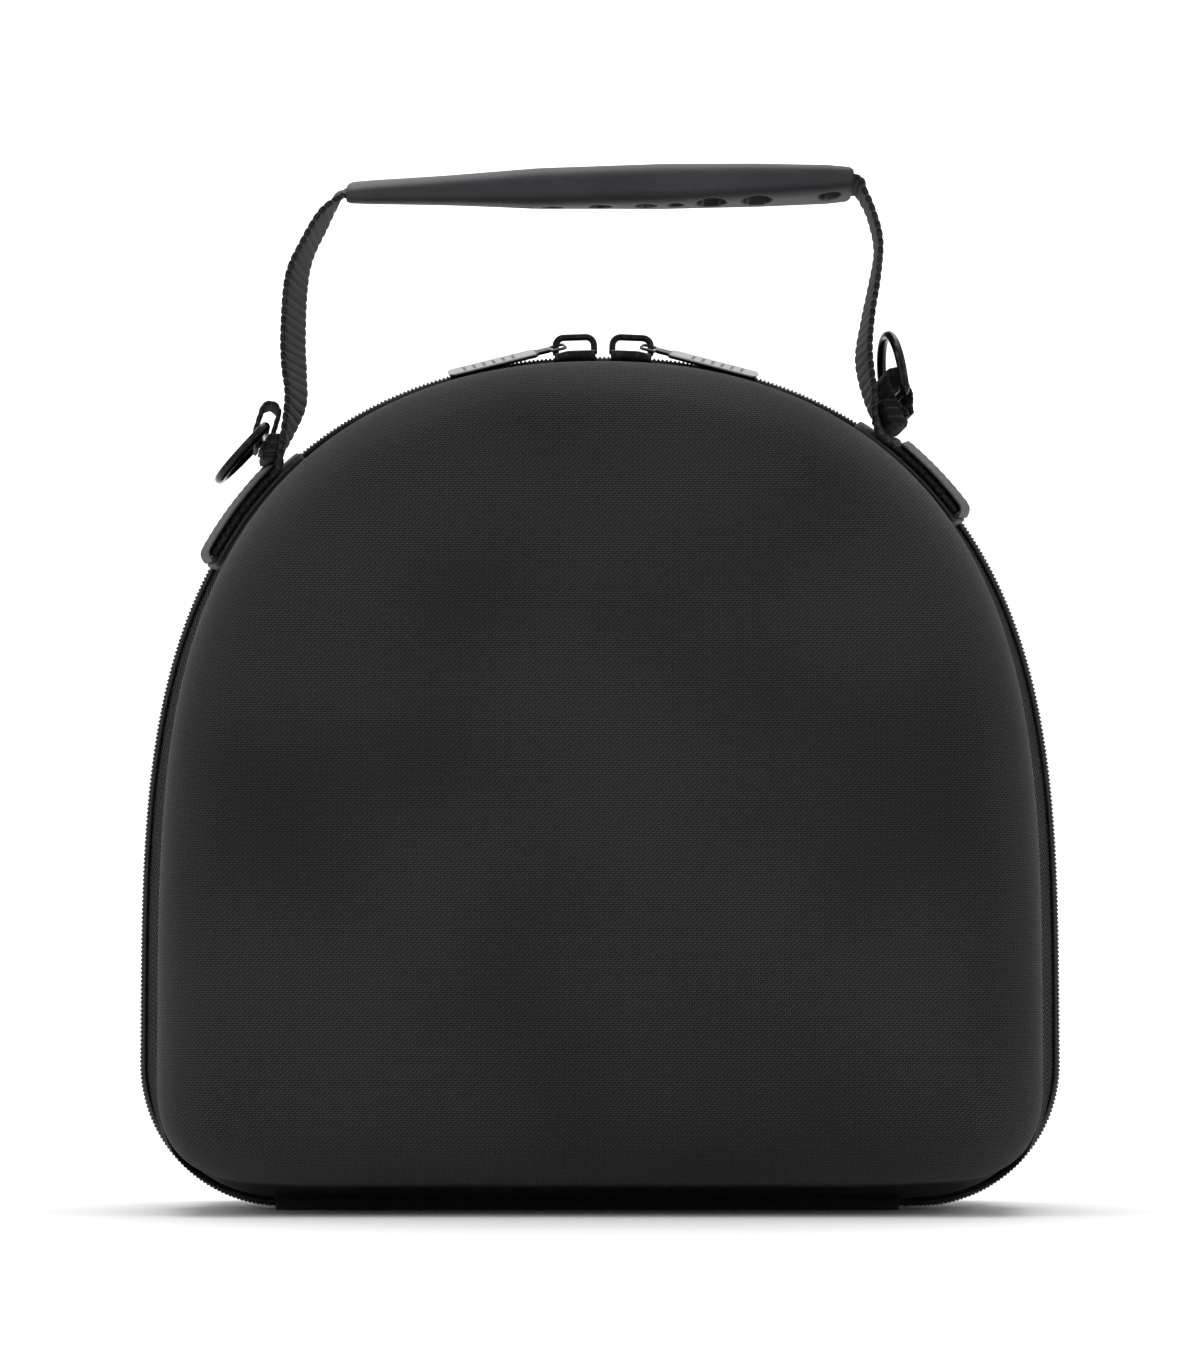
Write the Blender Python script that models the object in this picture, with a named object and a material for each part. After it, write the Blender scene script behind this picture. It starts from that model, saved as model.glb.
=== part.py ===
"""Domed carrier case for baseball caps: two moulded foam shells closed by a zip that runs round the arch.

The case stands on its flat hinge at the bottom. Z is up, X runs along the width and the front faces -Y.
The zip's crest follows one outline in the XZ plane; everything else is placed by its arc length along that
outline from the top centre (positive to the right), by its inset below the crest and by its depth from the
parting plane Y = 0. All sizes are in millimetres and are scaled to metres as each mesh is made.
"""
import math

import bmesh
import bpy
import numpy as np
from mathutils import Matrix, Vector

MM = 0.001

# outline of the zip's crest
CASE_WIDTH = 290.0
CASE_HEIGHT = 270.0
DOME_START = 54.0        # height where the straight side turns into the dome
DOME_ROUND = 2.15        # exponent of the dome's half width
DOME_POINT = 3.35        # exponent of the dome's height
CORNER_RADIUS = 45.0     # lower corners
CREST_LIFT = 0.5         # the zip runs this far above the ground, so that only the hinge touches it

# shells
CASE_DEPTH = 164.0
WALL = 4.0
FLANGE_END = 3.2         # thickness of the flange at its lip
PARTING = 0.6            # from the parting plane to each shell's lip
RIDGE_HEIGHT = 9.4       # the side wall starts this far below the zip's crest
RIDGE_DEPTH = 11.5       # the ridge's slope ends at this depth
DRAFT_DEGREES = 2.6
FOOT_HALF = 18.0         # the flat under the hinge reaches this far forward and back
FOOT_RISE = 3.9          # from the flat under the hinge up to the bottom wall
FOOT_DRAFT_DEGREES = 3.6
CORNER_FILL = 4.1        # the walls fill the lower corners by this much more than the zip's outline
RIM_FILL = 0.3           # and the face's rim by this share of it
FRONT_RADIUS = 22.0      # rounding between the wall and the face
FACE_CROWN = 2.4         # the face's rise from its rim to its middle
HALF_STEPS = 30          # facets along half of the outline

# zip
GAP = 0.3                # clearance between pieces that touch
COIL_RADIUS = 1.1
COIL_OFFSET = 1.4        # from the parting plane to each coil's centre
TAPE = 0.9
TAPE_REACH = 10.6        # depth that the tape's outer edge reaches
CREST_EDGE = 1.9         # depth where the flat lip turns into the ridge's slope

# hinge
HINGE_LEFT = -100.5
HINGE_RIGHT = 92.5
HINGE = 2.6              # folded hinge cloth
HINGE_WING = 5.6         # the hinge's turned-up sides reach this far past the flat

# zip sliders and pulls
SLIDER_CENTRE = 8.9      # arc length from the middle between the two sliders to each one
SLIDER_MIDDLE = 1.0
SLIDER_LENGTH = 13.0
SLIDER_WIDTH = 10.6
SLIDER_PLATE = 1.2
SLIDER_LIP = 1.9
SLIDER_NOSE = 0.7        # the plate is this much thinner at its outer end, below the pull
BRIDGE_LENGTH = 14.0
BRIDGE_RISE = 5.8
BRIDGE_STRAP = 1.8
BRIDGE_HOLLOW = 1.75     # inner radius of the bridge's bends, where the pull's bar turns
BRIDGE_WIDTH = 2.6
PULL_LENGTH = 38.0
PULL_PLATE = 28.0
PULL_WIDTH = 8.6
PULL_THICK = 1.2
PULL_NECK = 4.4
PULL_BAR = 0.6
PULL_EYE_GAP = 0.8       # room beside the bridge in the pull's eye
PULL_EYE_RIM = 0.9
PULL_REST = -0.2         # the pull's outer end lies this far over the zip's crest
PULL_ROLL_DEGREES = 25.0
PULL_YAW_DEGREES = 6.5

# handle
HANDLE_DEPTH = 19.0      # the handle's middle lies this far in front of the parting plane
WEBBING_WIDTH = 25.0
WEBBING = 2.4
PATCH_LENGTH = 46.0
PATCH_WIDTH = 28.0
PATCH_EDGE = 1.3
PATCH_CORNER = 4.0       # rounding of its outline
GRIP_LENGTH = 158.0
GRIP_WIDTH = 29.0
GRIP_HEIGHT = 11.6
GRIP_CENTRE = 320.3      # height of the grip's middle
GRIP_TILT_DEGREES = 0.95
GRIP_CROWN = 0.3
SLOT_DEPTH = 16.0
STRAP_BULGE = 8.2
CORE_RADIUS = 1.7        # round recesses in the grip's underside
CORE_DEPTH = 4.0

# D-rings
RING_WIRE = 1.5
RING_WIDTH = 31.0
RING_HEIGHT = 23.5
RING_STRAIGHT = 6.0      # straight legs between the bar and the bow
LOOP_WIDTH = 20.0
LOOP_WEB = 1.7
LOOP_SLOT = 5.5          # room along the loop above the ring's bar
LOOP_SEWN = 5.6          # from the ring's bar to where the loop's two layers meet
LOOP_TAIL = 7.0          # from the ring's bar to the loop's sewn end
LOOP_PLACE = 0.08        # the bar's rise along the strap, as a share of the strap's height

# where each shoulder's patch ends, as arc length from the top centre, how far its face leans forward, the
# angle over the horizontal at which its ring rests, and its ring loop: how far it leans inward, how far it
# turns its far edge outward, and its room beside the strap
SHOULDERS = {
    "left": dict(side=-1.0, patch_end=149.5, lean=13.0, ring_rise=-47.0, loop_lean=17.0, loop_turn=6.5, loop_gap=0.6),
    "right": dict(side=1.0, patch_end=132.5, lean=14.0, ring_rise=98.0, loop_lean=22.0, loop_turn=-8.5, loop_gap=0.3),
}
# the strap between patch and grip: rise and outward bow as shares, and twist in degrees
STRAP_ROWS = {
    "left": (
        dict(rise=0.19, bow=-0.10, twist=-8.0),
        dict(rise=0.32, bow=0.25, twist=-12.0),
        dict(rise=0.45, bow=0.60, twist=-11.5),
        dict(rise=0.65, bow=0.97, twist=-9.5),
        dict(rise=0.78, bow=0.90, twist=-3.0),
        dict(rise=0.90, bow=0.56, twist=0.0),
        dict(rise=0.965, bow=0.23, twist=8.0),
    ),
    "right": (
        dict(rise=0.10, bow=-0.15, twist=-2.0),
        dict(rise=0.27, bow=-0.27, twist=-6.0),
        dict(rise=0.43, bow=0.00, twist=-4.0),
        dict(rise=0.58, bow=0.36, twist=-2.5),
        dict(rise=0.74, bow=0.65, twist=1.0),
        dict(rise=0.87, bow=0.50, twist=3.0),
        dict(rise=0.95, bow=0.26, twist=3.0),
    ),
}
GRIP_ROLL_DEGREES = {"left": 16.0, "right": 0.0}
# grip sections: place along the half length, height and width as shares
GRIP_ROWS = (
    dict(along=-1.0, height=0.46, width=0.86),
    dict(along=-0.985, height=0.54, width=0.94),
    dict(along=-0.90, height=0.62, width=0.97),
    dict(along=-0.62, height=0.80, width=1.0),
    dict(along=-0.25, height=1.07, width=1.0),
    dict(along=0.25, height=1.12, width=1.0),
    dict(along=0.62, height=1.0, width=1.0),
    dict(along=0.90, height=0.82, width=0.97),
    dict(along=0.985, height=0.68, width=0.94),
    dict(along=1.0, height=0.56, width=0.86),
)
# round recesses in the grip's underside, as shares of its half length
CORE_PLACES = (-0.58, -0.30, 0.0, 0.30, 0.58)


def clear_scene():
    for obj in list(bpy.data.objects):
        bpy.data.objects.remove(obj)


def material(name, colour, roughness, metallic=0.0):
    """A Principled material; the colour is an sRGB hex string."""
    made = bpy.data.materials.new(name)
    made.use_nodes = True
    shader = made.node_tree.nodes["Principled BSDF"]
    parts = [int(colour[i:i + 2], 16) / 255 for i in (0, 2, 4)]
    linear = [p / 12.92 if p <= 0.04045 else ((p + 0.055) / 1.055) ** 2.4 for p in parts]
    shader.inputs["Base Color"].default_value = (*linear, 1.0)
    shader.inputs["Roughness"].default_value = roughness
    shader.inputs["Metallic"].default_value = metallic
    return made


def collection(name):
    made = bpy.data.collections.new(name)
    bpy.context.scene.collection.children.link(made)
    return made


class Outline:
    """The zip crest's outline, read by arc length from the top centre."""

    def __init__(self):
        half = CASE_WIDTH / 2
        top = CASE_HEIGHT
        base = CREST_LIFT
        u = np.radians(np.linspace(0.0, 90.0, 721))
        x = half * np.sin(u) ** (2 / DOME_ROUND)
        z = DOME_START + (top - DOME_START) * np.cos(u) ** (2 / DOME_POINT)
        a = np.radians(np.linspace(0.0, 90.0, 181))
        corner_x = half - CORNER_RADIUS * (1 - np.cos(a))
        corner_z = base + CORNER_RADIUS * (1 - np.sin(a))
        flat_x = np.linspace(half - CORNER_RADIUS, 0.0, 200)[1:]
        x = np.concatenate([x, corner_x, flat_x])
        z = np.concatenate([z, corner_z, np.full(len(flat_x), base)])
        step = np.hypot(np.diff(x), np.diff(z))
        keep = np.concatenate([[True], step > 1e-6])
        x = x[keep]
        z = z[keep]
        self.x = x
        self.z = z
        self.s = np.concatenate([[0.0], np.cumsum(np.hypot(np.diff(x), np.diff(z)))])
        tx = np.gradient(x, self.s)
        tz = np.gradient(z, self.s)
        tx[0] = 1.0
        tz[0] = 0.0
        length = np.hypot(tx, tz)
        self.tx = tx / length
        self.tz = tz / length
        self.length = self.s[-1]

    def at(self, s):
        """Point, outward normal and tangent (towards growing |s|) as pairs (x, z)."""
        side = -1.0 if s < 0 else 1.0
        r = abs(s)
        x = float(np.interp(r, self.s, self.x))
        z = float(np.interp(r, self.s, self.z))
        tx = float(np.interp(r, self.s, self.tx))
        tz = float(np.interp(r, self.s, self.tz))
        size = math.hypot(tx, tz)
        tx /= size
        tz /= size
        return (side * x, z), (-side * tz, tx), (side * tx, tz)

    def place(self, s, lift, depth):
        """World point in mm that lies `lift` outside the crest at arc length s, at Y = depth."""
        p, n, _ = self.at(s)
        return Vector((p[0] + n[0] * lift, depth, p[1] + n[1] * lift))

    def of_flat(self, x):
        """Arc length of a point on the flat bottom."""
        return math.copysign(self.length - abs(x), x)

    def stations(self):
        """Arc lengths of the half outline, closer together where it turns more."""
        angle = np.unwrap(np.arctan2(self.tz, self.tx))
        turned = np.concatenate([[0.0], np.cumsum(np.abs(np.diff(angle)))])
        cost = self.s / self.length + 1.6 * turned / turned[-1]
        return np.interp(np.linspace(0.0, cost[-1], HALF_STEPS + 1), cost, self.s)


def smooth(t):
    t = min(max(t, 0.0), 1.0)
    return t * t * (3 - 2 * t)


def mix(a, b, t):
    return a + (b - a) * t


def footing(outline, s):
    """0 along the sides and the dome, 1 on the flat bottom."""
    _, n, _ = outline.at(s)
    return smooth(n[1] * n[1]) if n[1] < 0 else 0.0


def lip_inset(outline, s):
    """Inset of the shells' lip: under the zip's coil and tape, or under the hinge."""
    zip_lip = 2 * COIL_RADIUS + TAPE + 2 * GAP
    hinge_lip = HINGE + GAP - CREST_LIFT
    right = outline.of_flat(HINGE_RIGHT)
    left = outline.of_flat(HINGE_LEFT)
    past = s - right if s > 0 else left - s
    return mix(zip_lip, hinge_lip, min(max(past + 1.0, 0.0), 1.0))


def corner_fill(outline, s):
    """How much less the walls are inset in the lower corners."""
    _, n, _ = outline.at(s)
    return CORNER_FILL * (2 * n[0] * n[1]) ** 2 if n[1] < 0 else 0.0


def wall_rows(outline, s):
    """The outer profile from the lip to the start of the face's rounding, as (inset, depth) pairs."""
    foot = footing(outline, s)
    lip = lip_inset(outline, s)
    edge = CASE_DEPTH / 2 - FACE_CROWN - FRONT_RADIUS
    root_inset = mix(RIDGE_HEIGHT, lip + FOOT_RISE, foot) - corner_fill(outline, s)
    root_depth = mix(RIDGE_DEPTH, FOOT_HALF + HINGE_WING, foot)
    draft = math.tan(math.radians(mix(DRAFT_DEGREES, FOOT_DRAFT_DEGREES, foot)))
    return (
        (lip, PARTING),
        (lip, mix(CREST_EDGE, FOOT_HALF, foot)),
        (root_inset, root_depth),
        (root_inset + 0.6, root_depth + 3.0),
        (root_inset + 0.6 + (edge - root_depth - 3.0) * draft, edge),
    )


def surface_inset(outline, s, depth):
    """Inset of the shell's outer surface at a depth from the parting plane."""
    rows = wall_rows(outline, s)
    return float(np.interp(depth, [r[1] for r in rows], [r[0] for r in rows]))


def shell_rings(outline, stations):
    """Rings of points from the middle of the face out to the lip and back inside, as arrays (x, depth, z)."""
    profiles = [wall_rows(outline, s) for s in stations]
    fills = [(1 - RIM_FILL) * corner_fill(outline, s) for s in stations]
    frames = [outline.at(s) for s in stations]
    arc = [math.radians(a) for a in (22.5, 45.0, 67.5, 90.0)]

    def ring(pairs):
        out = []
        for (p, n, _), (inset, depth) in zip(frames, pairs):
            out.append((p[0] - n[0] * inset, depth, p[1] - n[1] * inset))
        return np.array(out)

    def rounded(angle, radius):
        pairs = []
        for rows, fill in zip(profiles, fills):
            inset, depth = rows[-1]
            middle = inset + FRONT_RADIUS + fill
            pairs.append((middle - (radius + fill) * math.cos(angle), depth + radius * math.sin(angle)))
        return ring(pairs)

    rim = rounded(arc[-1], FRONT_RADIUS)
    middle = np.array([0.0, 0.0, rim[:, 2].mean()])
    outer = []
    for share in (0.28, 0.55, 0.8):
        level = rim.copy()
        level[:, 0] = rim[:, 0] * share
        level[:, 2] = middle[2] + (rim[:, 2] - middle[2]) * share
        level[:, 1] = rim[:, 1] + FACE_CROWN * (1 - share ** 2)
        outer.append(level)
    outer += [rounded(a, FRONT_RADIUS) for a in reversed(arc)]
    outer += [ring([rows[k] for rows in profiles]) for k in (4, 3, 2, 1, 0)]
    inner = [ring([(rows[0][0] + FLANGE_END, rows[0][1]) for rows in profiles])]
    inner += [ring([(rows[k][0] + WALL, rows[k][1]) for rows in profiles]) for k in (2, 3, 4)]
    inner += [rounded(a, FRONT_RADIUS - WALL) for a in (arc[1], arc[3])]
    for share in (0.6, 0.28):
        level = inner[-1].copy() if share == 0.6 else inner[-2].copy()
        level[:, 0] = level[:, 0] * share
        level[:, 2] = middle[2] + (level[:, 2] - middle[2]) * share
        level[:, 1] = level[:, 1] + FACE_CROWN * (1 - share ** 2)
        inner.append(level)
    return outer + inner


def loft(name, loops, look, group, origin=(0.0, 0.0, 0.0)):
    """Extrudes a filled loop of points through the others, fills the last and links the object."""
    origin = Vector(origin)
    bm = bmesh.new()
    points = [(Vector(p) - origin) * MM for p in loops[0]]
    ring = [bm.verts.new(p) for p in points]
    edges = [bm.edges.new((ring[i - 1], ring[i])) for i in range(len(ring))]
    bmesh.ops.contextual_create(bm, geom=edges)
    for loop in loops[1:]:
        made = bmesh.ops.extrude_edge_only(bm, edges=edges)["geom"]
        fresh = {v for v in made if isinstance(v, bmesh.types.BMVert)}
        ahead = []
        for vert, point in zip(ring, loop):
            new = next(e.other_vert(vert) for e in vert.link_edges if e.other_vert(vert) in fresh)
            new.co = (Vector(point) - origin) * MM
            ahead.append(new)
        ring = ahead
        edges = [bm.edges.get((ring[i - 1], ring[i])) for i in range(len(ring))]
    bmesh.ops.contextual_create(bm, geom=edges)
    bmesh.ops.recalc_face_normals(bm, faces=bm.faces)
    mesh = bpy.data.meshes.new(name)
    bm.to_mesh(mesh)
    bm.free()
    mesh.materials.append(look)
    mesh.shade_smooth()
    mesh.set_sharp_from_angle(angle=math.radians(35))
    obj = bpy.data.objects.new(name, mesh)
    obj.location = origin * MM
    group.objects.link(obj)
    return obj


def wire(name, points, radius, look, group, closed=False, sides=2, origin=(0.0, 0.0, 0.0)):
    """A round bead along a polyline."""
    origin = Vector(origin)
    data = bpy.data.curves.new(name, "CURVE")
    data.dimensions = "3D"
    data.bevel_depth = radius * MM
    data.bevel_resolution = sides
    data.use_fill_caps = True
    spline = data.splines.new("POLY")
    spline.points.add(len(points) - 1)
    for slot, point in zip(spline.points, points):
        slot.co = (*((Vector(point) - origin) * MM), 1.0)
    spline.use_cyclic_u = closed
    data.materials.append(look)
    obj = bpy.data.objects.new(name, data)
    obj.location = origin * MM
    group.objects.link(obj)
    return obj


def boolean(obj, other, operation):
    mod = obj.modifiers.new(other.name, "BOOLEAN")
    mod.operation = operation
    mod.object = other
    mod.solver = "EXACT"


def build_shells(outline, loop_stations, looks, group):
    for name, side in (("front_shell", -1.0), ("back_shell", 1.0)):
        rings = shell_rings(outline, loop_stations)
        rings = [[(p[0], side * p[1], p[2]) for p in ring] for ring in rings]
        loft(name, rings, looks["shell"], group)


def build_zip(outline, stations, looks, group):
    """Tape and coil of each half, from the hinge's right end over the top to its left end."""
    for word, side in (("front", -1.0), ("back", 1.0)):
        sections = []
        for s in stations:
            foot = footing(outline, s)
            crest = mix(CREST_EDGE, FOOT_HALF, foot)
            middle = min(crest, TAPE_REACH - 1.0)
            clear = GAP + 2.4 * foot * (1 - foot) + 0.18 * corner_fill(outline, s)
            low = []
            for depth in (PARTING, middle, TAPE_REACH):
                low.append((surface_inset(outline, s, depth) - (GAP if depth == PARTING else clear), depth))
            high = [(inset - TAPE, depth) for inset, depth in low]
            section = [outline.place(s, -inset, side * depth) for inset, depth in low + high[::-1]]
            sections.append(section)
        loft(word + "_zip_tape", sections, looks["tape"], group)
        centre = [outline.place(s, -COIL_RADIUS, side * COIL_OFFSET) for s in stations]
        wire(word + "_zip_coil", centre, COIL_RADIUS, looks["coil"], group, sides=1)


def build_hinge(outline, looks, group):
    """Folded cloth across the flat bottom, turned up over the foot of both shells."""
    s = outline.length
    reach = FOOT_HALF + HINGE_WING - 1.0
    outside = []
    for depth in (-reach, -FOOT_HALF, FOOT_HALF, reach):
        over = surface_inset(outline, s, abs(depth)) + CREST_LIFT - GAP
        outside.append((depth, over))
    under = [(depth, over - HINGE) for depth, over in outside]
    section = outside + under[::-1]
    loops = [[(x, depth, z) for depth, z in section] for x in (HINGE_LEFT, HINGE_RIGHT)]
    loft("hinge_strip", loops, looks["hinge"], group)


def slider_frame(outline, side):
    """Origin on the zip's crest, and a matrix whose X runs outward along the zip and Z away from it."""
    s = SLIDER_MIDDLE + side * SLIDER_CENTRE
    p, n, t = outline.at(s)
    along = Vector((t[0], 0.0, t[1]))
    if along.x * side < 0:
        along = -along
    up = Vector((n[0], 0.0, n[1]))
    frame = Matrix((along, Vector((0.0, 1.0, 0.0)), up)).transposed().to_4x4()
    frame.translation = Vector((p[0], 0.0, p[1]))
    return frame


def eye_centre(outline, side):
    """Where a pull's bar turns inside its bridge."""
    frame = slider_frame(outline, side)
    reach = BRIDGE_LENGTH / 2 - BRIDGE_STRAP - BRIDGE_HOLLOW
    rise = GAP + SLIDER_PLATE + BRIDGE_RISE - BRIDGE_STRAP - BRIDGE_HOLLOW
    return frame @ Vector((reach, 0.0, rise)), frame


def build_slider(outline, name, side, looks, group, cutters):
    frame = slider_frame(outline, side)
    top = GAP + SLIDER_PLATE
    low = -SLIDER_LIP
    channel = 2 * (COIL_OFFSET + COIL_RADIUS + GAP)
    half_w = SLIDER_WIDTH / 2
    half_l = SLIDER_LENGTH / 2
    chamfer = 0.7
    section = [(-half_w, low), (-channel / 2, low), (-channel / 2, GAP), (channel / 2, GAP), (channel / 2, low),
               (half_w, low), (half_w, top - chamfer), (half_w - chamfer, top), (-half_w + chamfer, top),
               (-half_w, top - chamfer)]
    waists = ((-1.0, 0.86, 0.0), (-0.55, 1.0, 0.0), (0.25, 1.0, 0.0), (1.0, 0.8, SLIDER_NOSE))
    loops = []
    for share, wide, drop in waists:
        loop = []
        for y, z in section:
            outer = abs(y) > channel / 2 + 0.01
            y = y * wide if outer else y
            z = z - drop if z > GAP + 0.01 else z
            loop.append(frame @ Vector((share * half_l, y, z)))
        loops.append(loop)
    body = loft(name, loops, looks["slider"], group)
    radius = BRIDGE_HOLLOW + BRIDGE_STRAP / 2
    reach = BRIDGE_LENGTH / 2 - BRIDGE_STRAP / 2 - radius
    centre = top + BRIDGE_RISE - BRIDGE_STRAP / 2 - radius
    path = [(-reach - radius, top - 0.8), (-reach - radius, centre)]
    path += [(-reach - radius * math.cos(a), centre + radius * math.sin(a)) for a in np.radians((22.5, 45, 67.5))]
    path += [(-reach, centre + radius), (reach, centre + radius)]
    path += [(reach + radius * math.sin(a), centre + radius * math.cos(a)) for a in np.radians((22.5, 45, 67.5))]
    path += [(reach + radius, centre), (reach + radius, top - 0.8)]
    loops = []
    for i, (x, z) in enumerate(path):
        before = path[max(i - 1, 0)]
        after = path[min(i + 1, len(path) - 1)]
        way = Vector((after[0] - before[0], after[1] - before[1])).normalized()
        across = (way.y * BRIDGE_STRAP / 2, -way.x * BRIDGE_STRAP / 2)
        loop = []
        for sign, wide in ((1, 1), (1, -1), (-1, -1), (-1, 1)):
            point = Vector((x + sign * across[0], wide * BRIDGE_WIDTH / 2, z + sign * across[1]))
            loop.append(frame @ point)
        loops.append(loop)
    bridge = loft(name + "_bridge", loops, looks["slider"], cutters)
    bridge.hide_render = True
    bridge.display_type = "WIRE"
    boolean(body, bridge, "UNION")
    return body


def pull_outline():
    """The pull's outline in its own plane, X along it from the bar's axis."""
    end = PULL_LENGTH
    shoulder = PULL_LENGTH - PULL_PLATE
    half = PULL_WIDTH / 2
    neck = PULL_NECK / 2
    inner = BRIDGE_WIDTH / 2 + PULL_EYE_GAP
    eye = inner + PULL_EYE_RIM
    reach = BRIDGE_HOLLOW + BRIDGE_STRAP + 0.6
    rim = reach + PULL_EYE_RIM
    lower = [(-PULL_BAR, -eye + 0.8), (0.2, -eye), (rim - 0.8, -eye), (rim + 0.6, -neck), (shoulder - 0.6, -neck),
             (shoulder, -half), (end - 1.4, -half), (end, -half + 1.4)]
    outer = lower + [(x, -y) for x, y in reversed(lower)]
    hole = [(PULL_BAR, -inner), (PULL_BAR, inner), (reach - 0.5, inner), (reach, inner - 0.6), (reach, -inner + 0.6),
            (reach - 0.5, -inner)]
    return outer, hole


def build_pull(outline, name, side, looks, group):
    """A flat tab with an eye, lying outward along the zip and rolled a little to the front."""
    centre, _ = eye_centre(outline, side)
    rest = outline.place(SLIDER_MIDDLE + side * (SLIDER_CENTRE + PULL_LENGTH), PULL_REST, 0.0)
    slope = Matrix.Rotation(math.atan2(centre.z - rest.z, abs(rest.x - centre.x)), 4, "Y")
    yaw = Matrix.Rotation(math.radians(-PULL_YAW_DEGREES), 4, "Z")
    roll = Matrix.Rotation(math.radians(PULL_ROLL_DEGREES), 4, "X")
    turn = slope @ yaw @ roll
    if side < 0:
        turn = Matrix.Diagonal((-1.0, 1.0, 1.0, 1.0)) @ turn @ Matrix.Diagonal((1.0, -1.0, 1.0, 1.0))
    flat_piece(name, pull_outline(), PULL_THICK, looks["pull"], group, Matrix.Translation(centre * MM) @ turn)


def lean_line(outline, s, lean, depth):
    """Lift over the crest of a patch's upper face at a depth, leaning forward by `lean` degrees."""
    wall_depth = HANDLE_DEPTH + PATCH_WIDTH / 2
    slope = math.tan(math.radians(lean))
    high = slope * PATCH_WIDTH - surface_inset(outline, s, wall_depth) + GAP + PATCH_EDGE
    high = max(high, 0.4)
    return high - slope * (depth - (HANDLE_DEPTH - PATCH_WIDTH / 2))


def build_patch(outline, word, looks, group):
    """An oblong seat on the front shell's wall and ridge, its face leaning forward, its foot fitting both."""
    data = SHOULDERS[word]
    radius = PATCH_WIDTH / 2
    start = data["patch_end"] - PATCH_LENGTH
    corner = [(PATCH_CORNER * (1 - math.cos(a)), 1 - PATCH_CORNER * (1 - math.sin(a)) / radius)
              for a in np.radians((0, 30, 60, 90))]
    low = [(start + reach, share) for reach, share in corner]
    high = [(data["patch_end"] - reach, share) for reach, share in reversed(corner)]
    middle = [(mix(low[-1][0], high[0][0], k / 4), 1.0) for k in (1, 2, 3)]
    tape_edge = TAPE_REACH + GAP
    loops = []
    for s, share in low + middle + high:
        s = data["side"] * s
        near = HANDLE_DEPTH + radius * share
        far = HANDLE_DEPTH - radius * share
        if far < tape_edge:
            depths = [near, mix(near, RIDGE_DEPTH + 3.0, 0.5), RIDGE_DEPTH + 3.0, RIDGE_DEPTH, tape_edge, far]
        else:
            depths = [mix(near, far, k / 5) for k in range(6)]
        under = []
        for depth in depths:
            cover = GAP if depth > tape_edge + 0.01 else 2 * GAP + TAPE
            under.append(outline.place(s, -surface_inset(outline, s, depth) + cover, -depth))
        over = [outline.place(s, lean_line(outline, s, data["lean"], d), -d) for d in (far, near)]
        loops.append(under + over)
    loft("patch_" + word, loops, looks["patch"], group)


def grip_frame(share):
    """Middle of the grip and its up and across directions at a share of its half length."""
    tilt = math.radians(GRIP_TILT_DEGREES)
    x = share * GRIP_LENGTH / 2
    z = GRIP_CENTRE + x * math.tan(tilt) - GRIP_CROWN * share * share
    roll = math.radians(mix(GRIP_ROLL_DEGREES["left"], GRIP_ROLL_DEGREES["right"], (share + 1) / 2))
    across = Vector((0.0, math.cos(roll), math.sin(roll)))
    up = Vector((0.0, -math.sin(roll), math.cos(roll)))
    return Vector((x, -HANDLE_DEPTH, z)), across, up


def build_grip(looks, group, cutters):
    """Moulded rubber grip: flat below with round recesses, and a slot at each end for the webbing."""
    loops = []
    for row in GRIP_ROWS:
        centre, across, up = grip_frame(row["along"])
        loop = []
        for k in range(16):
            a = 2 * math.pi * (k + 0.5) / 16
            c = math.copysign(abs(math.cos(a)) ** 0.6, math.cos(a))
            h = math.copysign(abs(math.sin(a)) ** 0.7, math.sin(a))
            wide = c * GRIP_WIDTH / 2 * row["width"]
            tall = h * GRIP_HEIGHT / 2 * row["height"]
            loop.append(centre + across * wide + up * tall)
        loops.append(loop)
    grip = loft("grip", loops, looks["grip"], group)
    for word, side in (("left", -1.0), ("right", 1.0)):
        centre, across, up = grip_frame(side)
        inside, across_in, up_in = grip_frame(side * (1 - SLOT_DEPTH / (GRIP_LENGTH / 2)))
        half_w = WEBBING_WIDTH / 2 + 2 * GAP
        half_h = WEBBING / 2 + 2 * GAP
        out = centre + (centre - inside) * 0.2
        loops = []
        for point, a, u in ((inside, across_in, up_in), (out, across, up)):
            loops.append([point + a * sa * half_w + u * su * half_h for sa, su in ((1, 1), (1, -1), (-1, -1), (-1, 1))])
        slot = loft("grip_slot_" + word, loops, looks["grip"], cutters)
        slot.hide_render = True
        slot.display_type = "WIRE"
        boolean(grip, slot, "DIFFERENCE")
    bm = bmesh.new()
    for share in CORE_PLACES:
        centre, across, up = grip_frame(share)
        turn = up.to_track_quat("Z", "Y").to_matrix().to_4x4()
        low = centre - up * (GRIP_HEIGHT / 2)
        spot = Matrix.Translation(low * MM) @ turn
        bmesh.ops.create_cone(bm, cap_ends=True, segments=12, radius1=CORE_RADIUS * MM, radius2=CORE_RADIUS * MM,
                              depth=2 * CORE_DEPTH * MM, matrix=spot)
    mesh = bpy.data.meshes.new("grip_cores")
    bm.to_mesh(mesh)
    bm.free()
    cores = bpy.data.objects.new("grip_cores", mesh)
    cores.hide_render = True
    cores.display_type = "WIRE"
    cutters.objects.link(cores)
    boolean(grip, cores, "DIFFERENCE")
    return grip


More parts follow.
